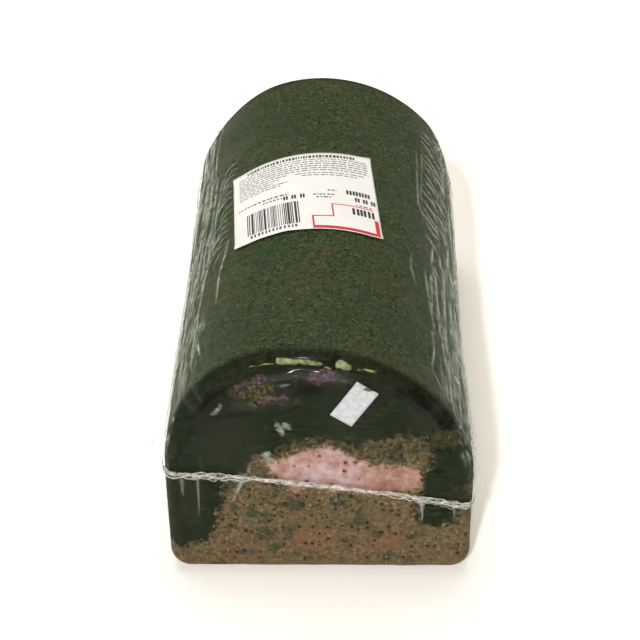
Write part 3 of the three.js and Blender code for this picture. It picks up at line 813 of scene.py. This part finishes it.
def feather_right(lay, wander, rng):
    """Puckers across the right shoulder, and a crumpled patch near the back."""
    run = 140.0
    while run < 232:
        start = 53.5 + rng.uniform(-0.5, 2)
        reach = rng.uniform(9, 17)
        lay(wander(start, run, start + reach, run - rng.uniform(4, 11), 0.3, rng.uniform(-0.5, 1.5)),
            rng.uniform(1.7, 2.6), rng.uniform(0.45, 0.85), rng.uniform(0.5, 0.9))
        run += rng.uniform(4.5, 8.5)
    run = 150.0
    while run < 228:
        start = 64 + rng.uniform(-2, 3)
        lay(wander(start, run, start + rng.uniform(12, 20), run - rng.uniform(0, 6), 0.4),
            rng.uniform(1.8, 2.8), rng.uniform(0.5, 0.9), rng.uniform(0.5, 0.95))
        run += rng.uniform(5, 10)
    for _ in range(34):
        u, r, turn = rng.uniform(68, 92), rng.uniform(196, 240), rng.uniform(0, math.pi)
        du, dr = 3.2 * math.cos(turn), 4.5 * math.sin(turn)
        lay([(u - du, r - dr), (u + du, r + dr)], rng.uniform(1.2, 2.2), rng.uniform(0.4, 1.0),
            rng.uniform(0.4, 0.9))


def feather_left(lay, wander, rng):
    """Short puckers beside the label that hook down into the long creases."""
    run = 101.0
    while run < 186:
        u, drop = 45.5 + rng.uniform(-0.5, 1.2), rng.uniform(1, 5)
        tip = u + rng.uniform(5, 9)
        rise, hook = rng.uniform(-0.8, 1.6), rng.uniform(3, 8)
        lay([(u, run), (u + 3, run + rise), (tip, run - drop), (tip + 1.5, run - drop - hook)],
            rng.uniform(1.3, 2.0), rng.uniform(0.4, 0.75), rng.uniform(0.4, 0.8))
        run += rng.uniform(4.0, 8.0)


def film_part(name, columns, rows, creased=0):
    """One stretch of the film tube, between two distances around, from the front rim to the back rim."""
    plan = stations(rows, 10)
    count = len(columns)
    around = np.tile(columns, len(plan))
    run = np.repeat([r for _, _, r in plan], count)
    creases = Creases(around, run)
    if creased:
        lay_creases(creases, creased)
    points, white = [], []
    for r, (position, inset, _) in enumerate(plan):
        height, crest = folds(columns, position / LENGTH)
        part = slice(r * count, (r + 1) * count)
        lift = height + creases.height[part] * (1 - 0.5 * inset / FILLET) - 0.25
        points.append(surface(columns, position, inset, lift))
        # Fold crests are whitened, partly as painted sheen.
        white.append(np.clip(0.18 * crest, 0, 0.45) * (1 - inset / FILLET) + creases.white[part])
    points = np.concatenate(points)
    points[:, 2] = np.maximum(points[:, 2], 0.02)
    film = make_mesh(name, points, ring_faces(len(plan), count, closed=False))
    along = np.clip(run / LENGTH, 0, 1)
    limits = np.where(around < 0, wrinkle_limit(-1, along), wrinkle_limit(1, along))
    zone = smooth(-6, 10, np.abs(around) - limits) * (1 - smooth(WALL_END - 6, WALL_END + 10, np.abs(around)))
    ends = smooth(2, 12, run) * smooth(LENGTH - 2, LENGTH - 12, run)
    add_values(film, white=np.concatenate(white), around=around, run=run, zone=zone * (0.35 + 0.65 * ends))
    return film


def build_film_tube():
    side = np.concatenate([np.linspace(36, 46, 12), np.linspace(46, 106, 176)[1:],
                           np.linspace(106, WALL_END, 56)[1:], np.linspace(WALL_END, CORNER_END, 12)[1:]])
    base = np.linspace(CORNER_END, 2 * BASE_MIDDLE - CORNER_END, 25)
    wrapped = np.where(base > BASE_MIDDLE, base - 2 * BASE_MIDDLE, base)
    return [film_part("film_crown", np.linspace(-36, 36, 49), 150),
            film_part("film_right", side, 330, 1),
            film_part("film_base", wrapped, 60),
            film_part("film_left", -side[::-1], 330, -1)]


def film_material():
    t = Tree("clear_film")
    around, run, zone = t.value("around"), t.value("run"), t.value("zone")
    flat = t.combine(t.times(around, 0.16), t.times(run, 0.022), 0.0)
    lines = t.noise(1.0, 3, 0.6, flat)
    ridge = t.times(t.math("ABSOLUTE", t.minus(lines, 0.5)), 34.0)
    ridge = t.minus(1.0, ridge, clamp=True)
    cloud = t.noise(1.0, 2, 0.5, t.combine(t.times(around, 0.06), t.times(run, 0.03), 3.0))
    ridge = t.times(t.times(ridge, t.step(cloud, 0.42, 0.62)), zone)
    broken = t.step(t.noise(190, 3, 0.65), 0.34, 0.54, 0.15, 1.0)
    # Creases and fine ridges are covered with milky white: the film's own whitening with painted sheen.
    crease = t.times(t.value("white"), broken)
    # Painted sheen: a milky veil on the side walls where the film catches the surroundings at a grazing angle.
    wall = t.step(t.math("ABSOLUTE", around), 62, 78)
    wall = t.times(wall, t.step(run, 15, 80, 0.12, 1.0))
    grazing_sheen = t.times(t.times(zone, wall), t.step(lines, 0.50, 0.64, 0.0, 0.26))
    cover = t.plus(t.times(crease, 0.76), t.times(ridge, 0.12))
    cover = t.plus(cover, grazing_sheen, clamp=True)
    height = t.plus(t.times(lines, zone), t.times(t.noise(45, 2, 0.5), 0.35))
    normal = t.bump(height, 0.0012, 0.5)
    milky_and_sheen = t.principled(srgb(190, 202, 180), 0.35, normal, Specular_IOR_Level=0.4)
    strength = t.math("MULTIPLY_ADD", crease, 0.4, 0.06, clamp=True)
    return t.finish(t.gloss(t.over_clear(cover, milky_and_sheen), strength, 0.13, normal))


# ---------------------------------------------------------------- end faces of the film, with weld and gathers

def face_grid(columns, rows):
    """A grid over an end face inside its rounded rim: x and z arrays."""
    top = WALL + RISE - FILLET
    turn = np.linspace(-math.pi / 2, math.pi / 2, rows)
    z = FILLET + (top - FILLET) * (np.sin(turn) + 1) / 2
    half = np.full(rows, HALF_WIDTH - FILLET)
    arch = np.clip((z - WALL) / (RISE - FILLET), 0, 1)
    half = np.where(z > WALL, (HALF_WIDTH - FILLET) * np.sqrt(1 - arch ** 2), half)
    low = np.clip((CORNER - z) / (CORNER - FILLET), 0, 1)
    half = np.where(z < CORNER, HALF_WIDTH - CORNER + (CORNER - FILLET) * np.sqrt(1 - low ** 2), half)
    half = np.maximum(half, 0.4)
    across = np.sin(np.linspace(-math.pi / 2, math.pi / 2, columns))
    return half[:, None] * across[None, :], np.repeat(z[:, None], columns, 1)


# Gathers that leave the weld: x and height at the weld, x and height at the tip, half width, whiteness.
GATHERS = [(-31.5, 54, -37, 40, 2.4, 0.85), (-29.5, 56.5, -28.5, 62, 1.7, 0.4),
           (44.0, 43.5, 44.6, 31, 2.2, 0.75), (7, 47, 7.6, 40.5, 0.9, 0.45),
           (-58.5, 51, -58.2, 42, 2.0, 0.5), (-51.5, 51, -51.8, 30, 1.1, 0.6),
           (-9.5, 50, -9.8, 46, 1.2, 0.5), (58, 38, 58.3, 32, 1.5, 0.4), (40, 46, 41.5, 53, 1.2, 0.25),
           (-49, 55, -50.5, 66, 0.7, 0.18), (23, 46, 22, 40, 0.8, 0.18)]
# Puckers of slack film under the top of the rim, whitened as painted glints, in the same form.
GLINT_PUCKERS = [(-9.5, 111.0, 1.5, 111.8, 1.8, 1.0), (-14, 101, -11, 101.4, 1.2, 0.75),
           (4.6, 111.6, 6.4, 112.2, 0.9, 0.5)]


def rim_height(x):
    """Height at which the flat of the end face meets its rounded rim under the arch."""
    return WALL + (RISE - FILLET) * np.sqrt(np.clip(1 - (x / (HALF_WIDTH - FILLET)) ** 2, 0, 1))


def build_face_film(name, end):
    x, z = face_grid(240, 230)
    points = np.stack([x, 0 * x, z], -1).reshape(-1, 3)
    level = face_level(x, z, end)
    out = np.full(x.shape, -0.15)
    white = np.zeros(x.shape)
    # The puckers' whitening is a painted glint.
    for x0, z0, x1, z1, half, pale in GATHERS + GLINT_PUCKERS:
        t, gap = to_segment(x, z, (x0 * end, z0), (x1 * end, z1))
        out += 0.7 * np.clip(1 - gap / half, 0, 1) ** 1.4 * (1 - t)
        white = np.maximum(white, pale * np.exp(-(gap / (0.45 * half * (1.1 - t))) ** 2))
    slow = relief(points, 22, 31, 0.12).reshape(x.shape)
    bulge = smooth(0.5, -3, polygon_distance(x * end, z, PRESSED_OUTLINE)) * smooth(60, 80, z)
    ripple = (relief(points, 8, 77, 0.3) + relief(points, 3.5, 78, 0.1)).reshape(x.shape)
    inner = HALF_WIDTH - FILLET - np.abs(x)
    below_rim = rim_height(x) - z
    edge = smooth(0, 4, inner) * smooth(0, 4, below_rim)
    out += (slow + np.clip(ripple, -0.5, 0.35) * bulge) * edge
    # a rounded lip of slack film under the top of the rim
    lip = np.sqrt(np.clip(1 - ((below_rim - 2.7) / 2.7) ** 2, 0, 1))
    lip = lip * smooth(-25, -17, x * end) * smooth(34, 22, x * end)
    out += 1.5 * lip * (1 + 0.25 * np.sin(0.45 * x + 1.0)) - 0.5 * bump(7.5, 3, below_rim) * bulge
    points[:, 1] = (level - end * np.clip(out, -1.0, 1.4)).ravel()
    faces = ring_faces(*x.shape, closed=False)
    if end < 0:
        faces = [f[::-1] for f in faces]
    film = make_mesh(name, points, faces)
    add_values(film, white=white, bulge=np.maximum(0.25 * bulge, lip * smooth(24, 12, np.abs(x + 4))))
    return film


def face_film_material():
    t = Tree("clear_film_on_the_ends")
    # Gathers are covered with milky white, partly as painted sheen.
    crease = t.times(t.value("white"), t.step(t.noise(260, 3, 0.6), 0.3, 0.55, 0.4, 1.0))
    veil = t.step(t.noise(40, 2, 0.5), 0.4, 0.7, 0.0, 0.012)
    cover = t.plus(t.times(crease, 0.6), veil, clamp=True)
    normal = t.bump(t.noise(90, 2, 0.5), 0.0008, 0.3)
    milky_and_sheen = t.principled(srgb(196, 196, 186), 0.35, normal, Specular_IOR_Level=0.4)
    strength = t.step(t.value("bulge"), 0, 1, 0.08, 0.9)
    return t.finish(t.gloss(t.over_clear(cover, milky_and_sheen), strength, 0.16, normal))


def tube(path, radii, flatten, sides=8):
    """Points and quads of a tube with its own radius at each step; flatten squashes it along y."""
    path = np.asarray(path, float)
    forward = np.gradient(path, axis=0)
    forward /= np.linalg.norm(forward, axis=1)[:, None]
    points = []
    for p, f, radius in zip(path, forward, radii):
        up = np.array([0, 0, 1.0]) - f * f[2]
        up /= np.linalg.norm(up)
        out = np.cross(f, up)
        for k in range(sides):
            a = 2 * math.pi * k / sides
            points.append(p + radius * (math.cos(a) * up + math.sin(a) * out * flatten))
    return np.array(points + [path[0], path[-1]]), capped_faces(len(path), sides)


def blurred(rng, count, width, gain):
    kernel = np.hanning(width + 2)[1:-1]
    kernel = kernel / np.sqrt((kernel ** 2).sum())
    return gain * np.convolve(rng.normal(size=count + width - 1), kernel, "valid")


def weld_spread(x):
    """Half the height of the weld: wide where the film is crumpled at both ends, narrow in the middle."""
    return 0.7 + 0.75 * smooth(-22, -40, x) + 0.85 * smooth(22, 44, x) + 0.3 * bump(-16, 9, x)


def build_weld(name, end):
    """The weld's strands, which part and cross over each other."""
    rng = np.random.default_rng(5 if end > 0 else 9)
    x = np.linspace(-67.2, 67.2, 700)
    spread = weld_spread(x * end)
    lobes = np.abs(np.sin(0.36 * x + 0.8 * blurred(rng, len(x), 91, 1.0)))
    parts = []
    for share, thick, wave in ((0.75, 0.24, 0.2), (-0.2, 0.36, 0.2), (-0.55, 0.22, 0.22), (0.3, 0.17, 0.4)):
        own = blurred(rng, len(x), 61, wave) + blurred(rng, len(x), 13, 0.35 * wave)
        z = seam_height(x, end) + spread * (share + own) - (0.8 * lobes * spread if share < -0.5 else 0)
        proud = 0.75 + 0.3 * np.sin(0.8 * x + 9 * share) + blurred(rng, len(x), 15, 0.12)
        y = face_level(x, z, end) - end * np.clip(proud, 0.25, 1.4)
        radii = thick * np.clip(1 + blurred(rng, len(x), 25, 0.35), 0.35, 1.9)
        radii = radii * (1 + 1.2 * smooth(-34, -12, x * end) * smooth(34, 20, x * end) * (share == -0.2))
        parts.append(tube(np.stack([x, y, z], 1), radii, 0.6))
    return make_mesh(name, *merge(parts))


def build_web(name, end):
    """The thin web of the weld, scalloped below where the film gathers into it."""
    rng = np.random.default_rng(15 if end > 0 else 19)
    x = np.linspace(-67, 67, 700)
    steps = 10
    middle, spread = seam_height(x, end), weld_spread(x * end)
    lobes = np.zeros_like(x)
    place = -67.0
    while place < 66:
        width = rng.uniform(3.0, 6.0)
        lobe = np.clip(1 - ((x - place) / (0.5 * width)) ** 2, 0, 1) ** 0.6
        lobes = np.maximum(lobes, rng.uniform(0.3, 1.0) * lobe)
        place += width * rng.uniform(0.9, 1.4)
    top = middle + spread * 0.8 + blurred(rng, len(x), 21, 0.2)
    bottom = middle - spread * (0.9 + 1.2 * lobes) - blurred(rng, len(x), 21, 0.15)
    crinkle = blurred(rng, len(x), 15, 1.0)
    points, down = [], []
    for s in np.linspace(0, 1, steps):
        z = top + (bottom - top) * s
        y = face_level(x, z, end) - end * (0.4 + (0.3 * np.sin(s * 7 + 1.3 * crinkle) + 0.25) * (1 - s))
        points.append(np.stack([x, y, z], 1))
        down.append(np.full(len(x), s))
    web = make_mesh(name, np.concatenate(points), ring_faces(steps, len(x), closed=False))
    add_values(web, down=np.concatenate(down), wide=np.tile(smooth(0.6, 1.3, spread), steps))
    return web


def weld_material():
    t = Tree("welded_film")
    tone = t.ramp(t.noise(420, 3, 0.6), [(0.35, 164, 163, 150), (0.6, 222, 217, 206)])
    shader = t.principled(tone, 0.28, t.bump(t.noise(900, 2, 0.6), 0.0002, 0.5), Specular_IOR_Level=0.5)
    return t.finish(t.over_clear(t.step(t.noise(300, 2, 0.6), 0.35, 0.55, 0.45, 0.95), shader))


def web_material():
    t = Tree("weld_web")
    normal = t.bump(t.noise(500, 2, 0.6), 0.0004, 0.6)
    shader = t.principled(srgb(206, 206, 194), 0.3, normal, Specular_IOR_Level=0.5)
    cover = t.step(t.noise(420, 3, 0.7, t.scaled(t.at, (1, 1, 0.3))), 0.38, 0.62, 0.18, 0.7)
    edge = t.step(t.value("down"), 0.88, 0.97, 0.0, 0.4)
    cover = t.plus(t.times(cover, t.step(t.value("down"), 0.3, 1.0, 1.0, 0.5)), edge)
    cover = t.times(cover, t.step(t.value("wide"), 0, 1, 1.0, 0.85), clamp=True)
    return t.finish(t.over_clear(cover, shader))


# Loose corners of film: root and tip points from the weld's end, its side, seed.
EARS = [([(-65.6, 5, 0), (-66.8, 8, 4), (-66.9, 12, 9), (-66.6, 17, 13)],
         [(-67.6, 5, 1), (-70, 7, 5), (-72, 9, 9), (-70.6, 12, 13)], -1, 3),
        ([(66, 4, -0.5), (66.6, 16, 3), (66.6, 34, 9), (66.3, 52, 14)],
         [(68.4, 4, 0), (70.2, 14, 2.4), (69.8, 32, 8), (67.2, 52, 14)], 1, 7)]


def build_ears():
    """Loose corners of film beside the front weld."""
    parts, loose = [], []
    across, down = 12, 44
    s, t = np.linspace(0, 1, down), np.linspace(0, 1, across)
    keys = np.linspace(0, 1, 4)
    for root, tip, side, seed in EARS:
        inner, outer = (np.stack([np.interp(s, keys, axis) for axis in np.array(c).T], 1) for c in (root, tip))
        start = np.array([0, -HALF_LENGTH, seam_height(side * HALF_WIDTH)])
        flat = (inner[:, None, :] + (outer - inner)[:, None, :] * t[None, :, None] + start).reshape(-1, 3)
        waves = enumerate(((5, 0.16), (4, 0.35), (5, 0.3)))
        shakes = [relief(flat, size, seed + i, tall) for i, (size, tall) in waves]
        loose.append(np.tile(t, down))
        parts.append((flat + np.stack(shakes, 1) * loose[-1][:, None], ring_faces(down, across, closed=False)))
    ears = make_mesh("film_ears", *merge(parts))
    add_values(ears, loose=np.concatenate(loose))
    return ears


def ear_material():
    t = Tree("loose_film")
    normal = t.bump(t.noise(300, 2, 0.6), 0.0005, 0.6)
    shader = t.principled(srgb(220, 222, 216), 0.25, normal, Specular_IOR_Level=0.5)
    wisps = t.step(t.noise(900, 3, 0.6, t.scaled(t.at, (1, 0.4, 0.4))), 0.46, 0.62, 0.03, 0.4)
    edge = t.step(t.value("loose"), 0.9, 1.0, 0.0, 0.35)
    return t.finish(t.over_clear(t.plus(wisps, edge, clamp=True), shader))


# ---------------------------------------------------------------- label, its print, and the sticker

LABEL_W, LABEL_D, LABEL_AROUND, LABEL_ALONG, LABEL_TURN = 69.0, 69.5, -8.4, 4.7, 0.088
STICKER_W, STICKER_H, STICKER_X, STICKER_Z, STICKER_TILT = 10.5, 20.6, 15.5, 93.7, 0.575
INK_PROUD = 0.19  # of the print over the underside of the label


def label_point(u, v, height):
    """u across and v from front to back, 0 to 1, on the label's own paper."""
    across, back = (np.asarray(u, float) - 0.5) * LABEL_W, (np.asarray(v, float) - 0.5) * LABEL_D
    around = LABEL_AROUND + across * math.cos(LABEL_TURN) - back * math.sin(LABEL_TURN)
    lengthwise = LABEL_ALONG + across * math.sin(LABEL_TURN) + back * math.cos(LABEL_TURN)
    return surface(around, lengthwise + HALF_LENGTH, 0, height)


def paper_lift(u, v):
    """The paper lies flat but for its corners and a small wave along its front edge."""
    corner = np.maximum(0, np.abs(u - 0.5) - 0.42) * np.maximum(0, np.abs(v - 0.5) - 0.42) * 90
    wave = 0.3 * np.exp(-((u - 0.36) / 0.06) ** 2) * smooth(0.1, 0.0, v)
    return 0.2 + corner + wave


def build_plate(name, place, nu, nv, low, high):
    u, v = np.meshgrid(np.linspace(0, 1, nu), np.linspace(0, 1, nv), indexing="ij")
    u, v = u.ravel(), v.ravel()
    bottom, top = place(u, v, low), place(u, v, high)
    layer = nu * nv
    faces = []
    for i in range(nu - 1):
        for j in range(nv - 1):
            a = i * nv + j
            faces.append((a, a + 1, a + nv + 1, a + nv))
            faces.append((layer + a, layer + a + nv, layer + a + nv + 1, layer + a + 1))
    rim = [i * nv for i in range(nu)] + [(nu - 1) * nv + j for j in range(1, nv)]
    rim += [i * nv + nv - 1 for i in range(nu - 2, -1, -1)] + list(range(nv - 2, 0, -1))
    for a, b in zip(rim, rim[1:] + rim[:1]):
        faces.append((a, b, b + layer, a + layer))
    return make_mesh(name, np.concatenate([bottom, top]), faces)


def print_bars():
    """Generic print: rows of dashes, a field of bars and an outlined box; (u0, v0, u1, v1, ink)."""
    rng = np.random.default_rng(12)
    bars = []

    def row(u0, u1, v, tall, ink, word=(0.012, 0.05), gap=(0.006, 0.012)):
        u = u0
        while u < u1:
            end = min(u + rng.uniform(*word), u1)
            bars.append((u, v - tall / 2, end, v + tall / 2, ink))
            u = end + rng.uniform(*gap)

    row(0.12, 0.88, 0.950, 0.032, 0, (0.008, 0.020), (0.005, 0.009))
    for i in range(6):
        row(0.05, 0.97, 0.912 - 0.030 * i, 0.013, 2)
    for i in range(5):
        row(0.05, 0.40 - 0.05 * (i % 3), 0.732 - 0.030 * i, 0.013, 2)
    row(0.46, 0.93, 0.725, 0.012, 2)
    row(0.50, 0.88, 0.695, 0.012, 2)
    row(0.04, 0.40, 0.475, 0.018, 1, (0.010, 0.03))
    row(0.22, 0.36, 0.435, 0.016, 1, (0.010, 0.02))
    for u in (0.362, 0.380, 0.416, 0.434, 0.474, 0.492):
        bars.append((u, 0.402, u + 0.013, 0.452, 0))
    row(0.56, 0.70, 0.435, 0.015, 1, (0.010, 0.03))
    row(0.58, 0.68, 0.40, 0.015, 1, (0.010, 0.03))
    row(0.66, 0.72, 0.49, 0.015, 1, (0.010, 0.02))
    row(0.785, 0.955, 0.482, 0.052, 0, (0.014, 0.016), (0.005, 0.007))
    for u in (0.838, 0.857, 0.894, 0.913, 0.950, 0.968):
        bars.append((u, 0.378, u + 0.014, 0.428, 0))
    u = 0.10
    while u < 0.455:
        wide = rng.choice([0.0045, 0.0075, 0.015], p=[0.45, 0.33, 0.22])
        bars.append((u, 0.085, u + wide, 0.365, 0))
        u += wide + rng.choice([0.0040, 0.0065, 0.0095], p=[0.5, 0.3, 0.2])
    row(0.12, 0.45, 0.055, 0.038, 1, (0.010, 0.016), (0.010, 0.015))
    row(0.84, 0.95, 0.335, 0.012, 1, (0.010, 0.03))
    for u in (0.808, 0.838, 0.862, 0.886, 0.916, 0.944):
        bars.append((u, 0.212, u + 0.018, 0.290, 0))
    bars += [(0.535, 0.006, 0.985, 0.040, 3), (0.957, 0.040, 0.985, 0.20, 3), (0.535, 0.04, 0.547, 0.165, 3),
             (0.535, 0.155, 0.68, 0.167, 3), (0.672, 0.165, 0.682, 0.315, 3), (0.672, 0.309, 0.96, 0.319, 3)]
    return bars


INKS = {"ink_black": (30, 30, 32), "ink_dark_grey": (80, 80, 82), "ink_grey": (128, 126, 128),
        "ink_red": (198, 36, 48)}


def build_print():
    inks, parts = [], []
    for u0, v0, u1, v1, ink in print_bars():
        steps = max(2, int((u1 - u0) * LABEL_W / 2.0) + 2)
        u = np.linspace(u0, u1, steps)
        low, high = (label_point(u, u * 0 + v, paper_lift(u, u * 0 + v) + INK_PROUD) for v in (v0, v1))
        quads = [(i, i + 1, steps + i + 1, steps + i) for i in range(steps - 1)]
        parts.append((np.concatenate([low, high]), quads))
        inks += [ink] * (steps - 1)
    ink_mesh = make_mesh("label_print", *merge(parts))
    for name, tone in INKS.items():
        ink_mesh.data.materials.append(ink_material(name, srgb(*tone)))
    ink_mesh.data.polygons.foreach_set("material_index", inks)
    return ink_mesh


def ink_material(name, colour):
    t = Tree(name)
    worn = t.tint(colour, t.noise(2600, 2, 0.6), 0.5, 0.75, 0.35, (214, 212, 208))
    return t.finish(t.principled(worn, 0.5, Specular_IOR_Level=0.3))


def paper_material(name, light, shade):
    t = Tree(name)
    tone = t.ramp(t.noise(60, 3, 0.6), [(0.3, *shade), (0.7, *light)])
    tone = t.tint(tone, t.noise(1800, 2, 0.6), 0.35, 0.7, 0.15, (216, 214, 212))
    return t.paper(tone, 0.55)


def sticker_point(u, v, height):
    across, up = (np.asarray(u) - 0.5) * STICKER_W, (np.asarray(v) - 0.5) * STICKER_H
    x = STICKER_X + across * math.cos(STICKER_TILT) + up * math.sin(STICKER_TILT)
    z = STICKER_Z - across * math.sin(STICKER_TILT) + up * math.cos(STICKER_TILT)
    return np.stack([x, face_level(x, z) - height, z], -1)


def sticker_material():
    t = Tree("sticker_paper")
    tone = t.ramp(t.noise(420, 3, 0.6), [(0.35, 186, 185, 191), (0.65, 204, 204, 207)])
    x, _, z = t.separate(t.at)
    high = t.step(z, 0.0965, 0.101)
    scratch = t.step(t.noise(700, 3, 0.6, t.scaled(t.at, (1, 1, 2.5))), 0.55, 0.64, 0, 0.45)
    tone = t.mix(t.times(scratch, high), tone, srgb(120, 116, 120))
    gap = t.plus(*(t.math("POWER", t.times(t.minus(at, middle), size), 2.0)
                   for at, middle, size in ((x, 0.0216, 420), (z, 0.1016, 900))))
    tone = t.tint(tone, gap, 1.3, 0.5, 1, (84, 92, 80))
    return t.paper(tone, 0.5)


# ---------------------------------------------------------------- put it together

def dress(piece, material, slot, *nodes):
    if material is not None:
        piece.data.materials.append(material)
    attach(piece, "root")
    if nodes:
        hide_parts(*nodes)


dress(build_ham(), ham_material(), "wrapped_loaf", "wrapped_loaf")
film_look = film_material()
for piece in build_film_tube():
    dress(piece, film_look, "clear_film", "wrapped_loaf")
face_film, weld_look, web_look = face_film_material(), weld_material(), web_material()
for word, end in (("front", 1), ("back", -1)):
    dress(build_face_film("film_" + word, end), face_film, "clear_film")
    dress(build_weld("weld_" + word, end), weld_look, "clear_film")
    dress(build_web("weld_web_" + word, end), web_look, "clear_film")
dress(build_ears(), ear_material(), "clear_film")
label = build_plate("label_paper", lambda u, v, h: label_point(u, v, paper_lift(u, v) + h), 60, 30, 0.0, 0.16)
dress(label, paper_material("label_paper", (240, 239, 237), (230, 229, 226)), "label_paper", "label")
dress(build_print(), None, "label_paper")
sticker = build_plate("front_sticker", sticker_point, 8, 14, 0.45, 0.6)
dress(sticker, sticker_material(), "label_paper", "sticker")

# ---------------------------------------------------------------- floor, light, camera

def build_floor():
    grid = np.linspace(-4000, 4000, 9)
    x, y = np.meshgrid(grid, grid, indexing="ij")
    points = np.stack([x.ravel(), y.ravel() + 600, np.zeros(x.size) - 0.05], 1)
    floor = make_mesh("floor", points, [f[::-1] for f in ring_faces(9, 9, closed=False)], False)
    t = Tree("floor_paper")
    tone = t.mix(t.noise(8, 2, 0.5), (0.90, 0.885, 0.86), (0.92, 0.905, 0.88))
    paper = t.principled(tone, 0.75, Specular_IOR_Level=0.1, Emission_Color=(1.0, 0.94, 0.80, 1),
                         Emission_Strength=0.26)
    floor.data.materials.append(t.finish(paper))


def add_light(name, kind, place, target, strength, colour, size):
    light = bpy.data.lights.new(name, kind)
    light.energy, light.color = strength, colour
    if kind == "SUN":
        light.angle = size
    else:
        light.shape, light.size = "SQUARE", size
    obj = bpy.data.objects.new(name, light)
    obj.location = place
    obj.rotation_euler = (Vector(target) - Vector(place)).to_track_quat("-Z", "Y").to_euler()
    bpy.context.scene.collection.objects.link(obj)


def build_world():
    """A plain studio: bright near the floor's horizon, dim above."""
    world = bpy.data.worlds.new("studio")
    world.use_nodes = True
    nodes, links = world.node_tree.nodes, world.node_tree.links
    height = nodes.new("ShaderNodeSeparateXYZ")
    links.new(nodes.new("ShaderNodeTexCoord").outputs["Generated"], height.inputs[0])
    ramp = nodes.new("ShaderNodeValToRGB")
    elements = ramp.color_ramp.elements
    elements[0].position, elements[0].color = 0.04, (1.0, 0.98, 0.94, 1)
    elements[1].position, elements[1].color = 0.34, (0.20, 0.19, 0.175, 1)
    links.new(height.outputs[2], ramp.inputs[0])
    links.new(ramp.outputs[0], nodes["Background"].inputs["Color"])
    bpy.context.scene.world = world


build_floor()
build_world()
add_light("key", "SUN", (-0.32, -1.2, 1.0), (0, 0, 0), 2.1, (0.98, 0.99, 1.0), math.radians(3.5))
add_light("overhead", "AREA", (-0.1, 0.45, 1.9), (0, 0, 0), 23, (1.0, 0.96, 0.86), 1.3)
bpy.context.scene.view_settings.view_transform = "Standard"
bpy.context.scene.view_settings.look = "None"

ELEVATION, YAW, ROLL = math.radians(35.571), math.radians(-1.861), math.radians(-1.178)
look = Vector((math.sin(YAW) * math.cos(ELEVATION), math.cos(YAW) * math.cos(ELEVATION), -math.sin(ELEVATION)))
right = Vector((math.cos(YAW), -math.sin(YAW), 0))
up = right.cross(look)
turned_right = math.cos(ROLL) * right + math.sin(ROLL) * up
turned_up = -math.sin(ROLL) * right + math.cos(ROLL) * up
camera_data = bpy.data.cameras.new("camera")
camera_data.lens, camera_data.sensor_width = 90.0, 36.0
camera_data.clip_start = 0.02
camera = bpy.data.objects.new("camera", camera_data)
turn = Matrix((turned_right, turned_up, -look)).transposed().to_4x4()
camera.matrix_world = Matrix.Translation((0.01887, -0.63633, 0.50338)) @ turn
bpy.context.scene.collection.objects.link(camera)
bpy.context.scene.camera = camera
